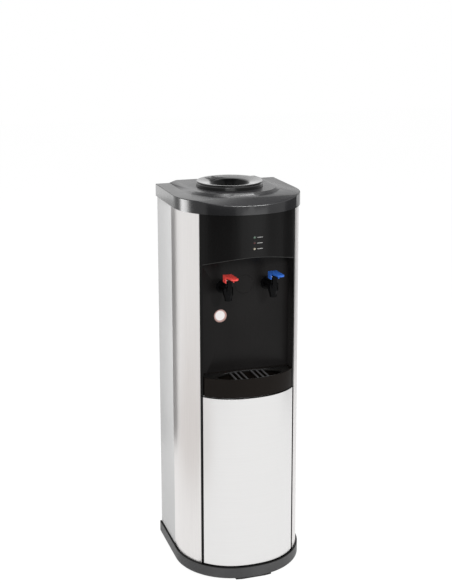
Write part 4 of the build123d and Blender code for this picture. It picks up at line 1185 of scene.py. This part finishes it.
@dataclass
class FrontPanel(SubAssembly):
    """The bowed black front, its lenses and marks, and the dispensing niche."""

    fascia_edge: float = 1.0 * MM
    niche_edge: float = 0.5 * MM
    niche_wall: float = 2.5 * MM
    arch_bead: float = 0.5 * MM
    under_most_z: float = -0.5
    front_most_z: float = 0.2
    front_most_y: float = -0.3
    sticker_x: float = -59 * MM
    sticker_z: float = 642.7 * MM
    sticker_r: float = 15.5 * MM
    sticker_t: float = 0.25 * MM
    sticker_rim: float = 0.6
    sticker_sides: int = 64
    field_r: float = 11.3 * MM
    field_off: float = 0.8 * MM
    mark_rows: int = 3
    mark_x: float = 13.2 * MM
    mark_w: float = 13.5 * MM
    mark_h: float = 1.5 * MM
    mark_t: float = 0.05 * MM
    mark_lift: float = 0.06 * MM
    bow_r: float = 255 * MM
    finishes = {
        LENS_GREEN: ("lens_heating",), LENS_RED: ("lens_cooling",), LENS_AMBER: ("lens_power",),
        BOARD_GREEN: ("led_board",),
    }

    def detail(self) -> None:
        """Ease the front, add its edge bead with a painted highlight, its sticker and its marks."""
        soften("front_fascia", FASCIA_BLACK, self.fascia_edge)
        soften("dispense_niche", NICHE_BLACK, self.niche_edge)
        # The bead's lighter colour is a painted highlight on the fascia's lower edge.
        bead = {"Wire": self.arch_wire(), "Radius": self.arch_bead}
        bead_tree().grow("arch_edge", ARCH_HIGHLIGHT_BEAD, "cabinet", "gloss_black", bead, smooth=True)
        self.build_sticker()
        self.build_marks()

    def arch_wire(self) -> Object:
        """Run a wire along the lower front edge of the fascia, over the niche.

        Returns:
            The loose wire.
        """
        work = welded("front_fascia")
        middle = sum(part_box("front_fascia"), Vector()).z / 2
        edges = []
        for edge in work.edges:
            normals = sorted((f.normal for f in edge.link_faces), key=lambda n: n.z)
            under, front = normals[0], normals[-1]
            high = min(v.co.z for v in edge.verts) > middle
            upright = abs(front.z) < self.front_most_z and front.y < self.front_most_y
            if high and upright and under.z < self.under_most_z:
                edges.append(edge)
        return wired("arch_wire", work, edges)

    def build_sticker(self) -> None:
        """Lay a plain round sticker on the niche's back wall."""
        niche = frame["nodes"]["dispense_niche"].data
        inner = max(v.co.y for v in niche.vertices) - self.niche_wall
        r, t = self.sticker_r, self.sticker_t
        outline = [(0.0, 0.0), (r, 0.0), (r, -self.sticker_rim * t), (r - t, -t), (0.0, -t)]
        disc = turned_back("sticker_disc", outline, self.sticker_sides)
        disc.data.transform(Matrix.Translation((self.sticker_x, inner, self.sticker_z)))
        middle = (self.sticker_x - self.field_off, inner - t, self.sticker_z + self.field_off)
        finish = RoundSticker("round_sticker", middle, self.field_r)
        settle(disc.data, "niche_sticker", finish, "cabinet")

    def build_marks(self) -> None:
        """Print a short plain mark beside each lens."""
        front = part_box("front_fascia")[0].y
        ends = ("lens_heating", "lens_power")
        first, last = (sum(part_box(node), Vector()).z / 2 for node in ends)
        offsets = [s * self.mark_w / 2 for s in (-1, 0, 1)]
        sag = [self.bow_r - math.sqrt(self.bow_r**2 - (self.mark_x + s)**2) for s in offsets]
        rows = [[(s, d, up * self.mark_h) for s, d in zip(offsets, sag)] for up in (-0.5, 0.5)]
        marks = grid_tree().grow("lens_marks", MARK_GREY, "cabinet", "white_acetal", {
            "Piece": lofted("lens_mark", rows), "Columns": 1, "Rows": self.mark_rows,
            "Width": 0.0, "Height": first - last,
            "Centre": (self.mark_x, front - self.mark_lift, (first + last) / 2),
        })
        thicken(marks, self.mark_t)


@dataclass
class TapPair(SubAssembly):
    """The two taps with their levers, stems, springs, pins, washers and nuts."""

    lever_edge: float = 0.9 * MM
    body_edge: float = 0.6 * MM
    spring_r: float = 4.1 * MM
    spring_wire: float = 0.55 * MM
    spring_turns: float = 5.0
    spring_keep: float = 0.62
    finishes = {
        BRIGHT_STEEL: ("pivot_pins",), DARK_RUBBER: ("tap_washers",),
        ACETAL_WHITE: ("tap_nuts", "hot_tap_stem", "cold_tap_stem"),
    }

    def detail(self) -> None:
        """Ease the levers and bodies of both taps, and wind their springs."""
        colours = {TapSide.HOT: (LEVER_RED, "hot_red"), TapSide.COLD: (LEVER_BLUE, "cold_blue")}
        coil = coil_tree()
        for side, (finish, slot) in colours.items():
            soften(f"{side.value}_tap_lever", finish, self.lever_edge, steps=3)
            soften(f"{side.value}_tap_body", TAP_BLACK, self.body_edge)
            self.build_spring(side, coil)

    def build_spring(self, side: TapSide, coil: GeometrySheet) -> None:
        """Wind the return spring of one tap in the room of its CAD sleeve.

        Args:
            side: Which tap.
            coil: The tree that winds it.
        """
        node = f"{side.value}_tap_spring"
        low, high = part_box(node)
        middle = (low + high) / 2
        name = f"{side.value}_return_spring"
        spring = coil.grow(name, BRIGHT_STEEL, "cabinet", "bright_steel", {
            "Turns": self.spring_turns, "Radius": self.spring_r, "Wire": self.spring_wire,
            "Height": high.z - low.z - 2 * self.spring_wire,
            "Foot": (middle.x, middle.y, low.z + self.spring_wire),
        }, smooth=True)
        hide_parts(node)
        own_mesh(spring)


@dataclass
class DripTray(SubAssembly):
    """The tray with its bowed apron, and the grille that lies in it."""

    tray_edge: float = 0.8 * MM
    grille_edge: float = 0.6 * MM
    bead_r: float = 0.4 * MM
    wall_most_z: float = 0.1

    def detail(self) -> None:
        """Ease and dress the tray and the grille, and bead the rims of its slots."""
        soften("drip_tray", TRAY_BLACK, self.tray_edge, steps=3)
        wire = self.slot_wire()
        spans = [[v.co[k] for v in wire.data.vertices] for k in (0, 1)]
        finish = replace(
            GRILLE_BLACK,
            centre=tuple((min(s) + max(s)) / 2 for s in spans),
            half=tuple((max(s) - min(s)) / 2 for s in spans),
            top=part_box("drip_grille")[1].z,
        )
        soften("drip_grille", finish, self.grille_edge, steps=3)
        # The slot rims take the grille's finish, and with it its painted highlight.
        bead = {"Wire": wire, "Radius": self.bead_r}
        bead_tree().grow("grille_rims", finish, "grille", "gloss_black", bead, smooth=True)

    def slot_wire(self) -> Object:
        """Run a wire along the top edges of the grille's slots, without its outer edge.

        Returns:
            The loose wire.
        """
        work = welded("drip_grille")
        top = max(v.co.z for v in work.verts) - TOP_SLACK
        left = {
            e for e in work.edges
            if min(v.co.z for v in e.verts) > top
            and min(abs(f.normal.z) for f in e.link_faces) < self.wall_most_z
        }
        loops = []
        while left:
            grow = [left.pop()]
            loop = []
            while grow:
                edge = grow.pop()
                loop.append(edge)
                near = {e for v in edge.verts for e in v.link_edges} & left
                left -= near
                grow.extend(near)
            loops.append(loop)
        across = [[v.co.x for e in loop for v in e.verts] for loop in loops]
        width = [max(xs) - min(xs) for xs in across]
        inner = [e for loop, w in zip(loops, width) if w < max(width) for e in loop]
        return wired("slot_wire", work, inner)


@dataclass
class StorageDoor(SubAssembly):
    """The steel door, its liner, the storage box behind it and the push latch."""

    door_edge: float = 0.5 * MM
    finishes = {
        LINER_BLACK: ("door_liner", "storage_liner", "latch_body"),
        BRIGHT_STEEL: ("hinge_pins",), ACETAL_WHITE: ("latch_plunger",),
    }

    def detail(self) -> None:
        """Ease the door's skin."""
        soften("door_panel", DOOR_STEEL, self.door_edge)


@dataclass
class WaterWorks(SubAssembly):
    """The tanks, jackets, hoses, cooler and heater inside the cabinet."""

    finishes = {
        TANK_STEEL: ("cold_tank", "hot_tank"), WHITE_FOAM: ("cold_jacket", "hot_jacket"),
        MILKY_SILICONE: ("tank_seal", "hot_hose", "cold_hose", "feed_hose", "drain_hose"),
        SINK_ALUMINIUM: ("cold_block", "heat_sink"), ACETAL_WHITE: ("cooling_module",),
        LINER_BLACK: ("fan_frame", "fan_rotor", "thermostats"),
        ZINC_SHEET: ("hot_stand", "power_supply"), BRIGHT_STEEL: ("band_heater",),
    }


@dataclass
class RearService(SubAssembly):
    """The rear pocket's switches, mains inlet and drain."""

    rib_count: int = 18
    rib_w: float = 0.8 * MM
    rib_out: float = 0.5 * MM
    rib_sunk: float = 0.05 * MM
    rib_foot: float = 0.44
    rib_crest: float = 0.36
    finishes = {
        TAP_BLACK: ("switch_frames", "power_inlet", "drain_fitting", "drain_cap"),
        LEVER_RED: ("hot_switch",), ROCKER_GREEN: ("cold_switch",),
    }

    def detail(self) -> None:
        """Set grip ribs round the drain cap."""
        low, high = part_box("drain_cap")
        middle = (low + high) / 2
        half = self.rib_w / 2
        foot, crest = (share * (high.y - low.y) for share in (self.rib_foot, self.rib_crest))
        rows = [
            [(0.0, -half, s * foot), (self.rib_out, 0.0, s * crest), (0.0, half, s * foot)]
            for s in (-1, 1)
        ]
        ring_tree().grow("cap_ribs", TAP_BLACK, "cap", "tap_black", {
            "Piece": lofted("cap_rib", rows), "Count": self.rib_count,
            "Radius": (high.z - low.z) / 2 - self.rib_sunk, "Centre": tuple(middle),
        })


@dataclass
class PhotoCamera:
    """The camera that took the picture, fitted to the edges of the lid and the plinth.

    It turns left by its yaw, looks down by its pitch and rolls about its view, in degrees.
    The picture's height, the focal length and the optical centre are in pixels.
    """

    height: float = 584.0
    focal: float = 1140.42
    centre_y: float = 216.0
    place: Point = (-839.62 * MM, -2527.24 * MM, 1419.78 * MM)
    yaw: float = -17.855
    pitch: float = 11.699
    roll: float = -0.126
    sensor: float = 36.0
    reach: float = 60.0

    def build(self) -> None:
        """Make the camera and hand it to the scene."""
        turn = Matrix.Identity(4)
        for angle, axis in ((self.yaw, "Z"), (90 - self.pitch, "X"), (self.roll, "Z")):
            turn = turn @ Matrix.Rotation(math.radians(angle), 4, axis)
        data = bpy.data.cameras.new("photo_camera")
        data.sensor_width = self.sensor
        data.lens = self.focal / self.height * self.sensor
        data.shift_y = (self.centre_y - self.height / 2) / self.height
        data.clip_end = self.reach
        camera = placed("photo_camera", data)
        camera.matrix_world = Matrix.Translation(self.place) @ turn
        bpy.context.scene.camera = camera


def bearing_out(bearing: float) -> Vector:
    """The level direction of a bearing in degrees, counted from +X towards +Y."""
    turn = math.radians(bearing)
    return Vector((math.cos(turn), math.sin(turn), 0.0))


@dataclass(frozen=True)
class SoftBox:
    """A soft lamp at a bearing from the object, aimed at a height on its axis."""

    name: str
    bearing: float
    distance: float
    height: float
    size: Span
    power: float
    aim: float = 0.5
    only: tuple[str, ...] = ()
    mirrored: bool = True

    def build(self) -> None:
        """Make the lamp, for the whole object or only for some of its pieces."""
        place = bearing_out(self.bearing) * self.distance + Vector((0.0, 0.0, self.height))
        data = bpy.data.lights.new(self.name, "AREA")
        data.shape = "RECTANGLE"
        data.size, data.size_y = self.size
        data.energy = self.power
        lamp = placed(self.name, data)
        lamp.location = place
        lamp.rotation_mode = "QUATERNION"
        aimed = Vector((0.0, 0.0, self.aim)) - place
        lamp.rotation_quaternion = aimed.to_track_quat("-Z", "Y")
        lamp.visible_glossy = self.mirrored
        if self.only:
            lit = bpy.data.collections.new(self.name + "_lights")
            for name in self.only:
                lit.objects.link(bpy.data.objects[name])
            lamp.light_linking.receiver_collection = lit


def studio_sheet(name: str, corners: Sequence[Point]) -> tuple[Object, NodeSheet]:
    """A four-cornered sheet of the studio.

    Args:
        name: The sheet's name.
        corners: Its corners, in turn.

    Returns:
        The object, and the empty nodes of its material.
    """
    mesh = bpy.data.meshes.new(name)
    mesh.from_pydata(corners, [], [(0, 1, 2, 3)])
    material = bpy.data.materials.new("look_" + name)
    material.use_nodes = True
    mesh.materials.append(material)
    return placed(name, mesh), NodeSheet(material.node_tree)


@dataclass(frozen=True)
class ToneCard:
    """A card of one tone that only reflections see, standing or lying at a bearing."""

    name: str
    bearing: float
    distance: float
    height: float
    size: Span
    tone: float
    level: bool = False
    tint: Colour = WHITE

    def build(self) -> None:
        """Make the card, seen only by gloss rays."""
        out = bearing_out(self.bearing)
        across = Vector((-out.y, out.x, 0.0)) * self.size[0] / 2
        rise = (out if self.level else Vector((0.0, 0.0, 1.0))) * self.size[1] / 2
        middle = out * self.distance + Vector((0.0, 0.0, self.height))
        ends = ((-1, -1), (1, -1), (1, 1), (-1, 1))
        corners = [tuple(middle + across * a + rise * b) for a, b in ends]
        card, sheet = studio_sheet(self.name, corners)
        for kind in ("camera", "diffuse", "transmission", "shadow", "volume_scatter"):
            setattr(card, "visible_" + kind, False)
        colour = (*shaded(self.tint, self.tone), 1.0)
        felt = sheet.add("ShaderNodeEmission", {"Color": colour, "Strength": 1.0})
        sheet.add("ShaderNodeOutputMaterial", {"Surface": felt})


LID_ONLY = ("top_cover_eased",)
TAPS_ONLY = ("hot_tap_body_eased", "cold_tap_body_eased")
SIDE_ONLY = ("side_panel_left_eased",)
NICHE_ONLY = ("dispense_niche_eased",)
GLOSS_FRONT = ("top_cover_eased", "front_fascia_eased")
WARM = (1.0, 0.965, 0.945)


@dataclass
class Studio:
    """A pale floor, a white surround, soft lamps and toned cards."""

    surround: float = 0.55
    floor_half: float = 9.0
    floor_tone: Colour = (0.86, 0.86, 0.86)
    floor_white: float = 0.86
    floor_level: float = 1.08
    lamps: tuple[SoftBox, ...] = (
        SoftBox("front_box", 255.0, 3.4, 2.6, (2.2, 1.6), 60.0),
        SoftBox("fill_box", 330.0, 3.2, 1.8, (1.8, 1.8), 24.0, mirrored=False),
        SoftBox("top_box", 60.0, 0.8, 3.2, (2.4, 2.4), 40.0, mirrored=False),
        SoftBox("corner_box", 155.5, 2.2, 0.5, (0.7, 0.9), 18.0, 0.9, LID_ONLY),
        SoftBox("corner_glow", 157.0, 2.25, 0.5, (1.0, 0.9), 20.0, 0.9, LID_ONLY),
        SoftBox("edge_box", 290.0, 1.6, 3.4, (2.0, 2.0), 600.0, 0.9, LID_ONLY),
        SoftBox("slope_box", 106.0, 1.8, 1.95, (2.0, 1.1), 5.5, 0.93, LID_ONLY),
        SoftBox("flat_box", 108.0, 0.6, 0.8, (0.5, 0.25), 0.45, 0.91, LID_ONLY),
        SoftBox("sheen_box", 289.0, 2.0, 0.43, (1.0, 0.6), 3.4, 0.85, GLOSS_FRONT),
        SoftBox("niche_box", 281.0, 1.5, 1.4, (0.25, 0.25), 18.0, 0.7, NICHE_ONLY, False),
        SoftBox("wall_box", 198.0, 1.5, 0.9, (0.3, 1.4), 40.0, 0.65, NICHE_ONLY, False),
        SoftBox("tap_box", 258.0, 1.2, 2.0, (0.3, 0.3), 20.0, 0.71, TAPS_ONLY),
        SoftBox("side_box", 213.0, 0.5, 0.75, (0.3, 1.0), 2.3, 0.7, SIDE_ONLY, False),
    )
    cards: tuple[ToneCard, ...] = (
        ToneCard("flank_card", 107.0, 0.7, 0.42, (0.5, 0.76), 0.02),
        ToneCard("end_card", 2.0, 1.0, 0.575, (0.8, 0.75), 0.1),
        ToneCard("ground_card", 175.0, 1.25, 0.004, (1.44, 1.26), 0.83, level=True, tint=WARM),
        ToneCard("front_card", 235.0, 1.2, 0.67, (1.2, 0.5), 0.05),
        ToneCard("rear_card", 56.0, 2.0, 2.25, (1.1, 1.3), 0.2),
        ToneCard("roof_card", 250.0, 0.2, 2.6, (1.8, 1.8), 0.02, level=True),
    )

    def build(self) -> None:
        """Set the surround, the floor, the lamps and the cards."""
        bpy.context.scene.view_settings.view_transform = "Standard"
        self.build_surround()
        self.build_floor()
        for thing in self.lamps + self.cards:
            thing.build()

    def seen(self, sheet: NodeSheet) -> Signal:
        """Tell rays from the camera, a gloss or a clear piece from the others.

        Args:
            sheet: The nodes that ask.

        Returns:
            1 for them, otherwise 0.
        """
        path = sheet.add("ShaderNodeLightPath").outputs
        kinds = ("Is Camera Ray", "Is Glossy Ray", "Is Transmission Ray")
        camera, gloss, clear = (Signal(sheet, path[kind]) for kind in kinds)
        return camera.larger(gloss).larger(clear)

    def build_surround(self) -> None:
        """White to look at, and a plain level of light for the object."""
        world = bpy.data.worlds.new("white_surround")
        world.use_nodes = True
        bpy.context.scene.world = world
        sheet = NodeSheet(world.node_tree)
        level = self.surround + self.seen(sheet) * (1 - self.surround)
        light = sheet.add("ShaderNodeBackground", {"Color": (*WHITE, 1.0), "Strength": level})
        sheet.add("ShaderNodeOutputWorld", {"Surface": light})

    def build_floor(self) -> None:
        """A pale floor that looks white and keeps a soft shadow."""
        h = self.floor_half
        corners = [(-h, -h, 0.0), (h, -h, 0.0), (h, h, 0.0), (-h, h, 0.0)]
        floor, sheet = studio_sheet("studio_floor", corners)
        matt = sheet.add("ShaderNodeBsdfDiffuse", {"Color": (*self.floor_tone, 1.0)})
        glow = {"Color": (*WHITE, 1.0), "Strength": self.floor_level}
        white = sheet.add("ShaderNodeEmission", glow)
        mix = sheet.add("ShaderNodeMixShader", {
            0: self.seen(sheet) * self.floor_white, 1: matt, 2: white,
        })
        sheet.add("ShaderNodeOutputMaterial", {"Surface": mix})


def main() -> None:
    """Build the camera, every sub-assembly and the studio."""
    logging.basicConfig(level=logging.INFO, format="%(name)s: %(message)s")
    PhotoCamera().build()
    parts = (
        Cabinet(), LidAndCollar(), FrontPanel(), TapPair(), DripTray(), StorageDoor(),
        WaterWorks(), RearService(),
    )
    for part in parts:
        part.build()
    Studio().build()


if __name__ == "__main__":
    main()
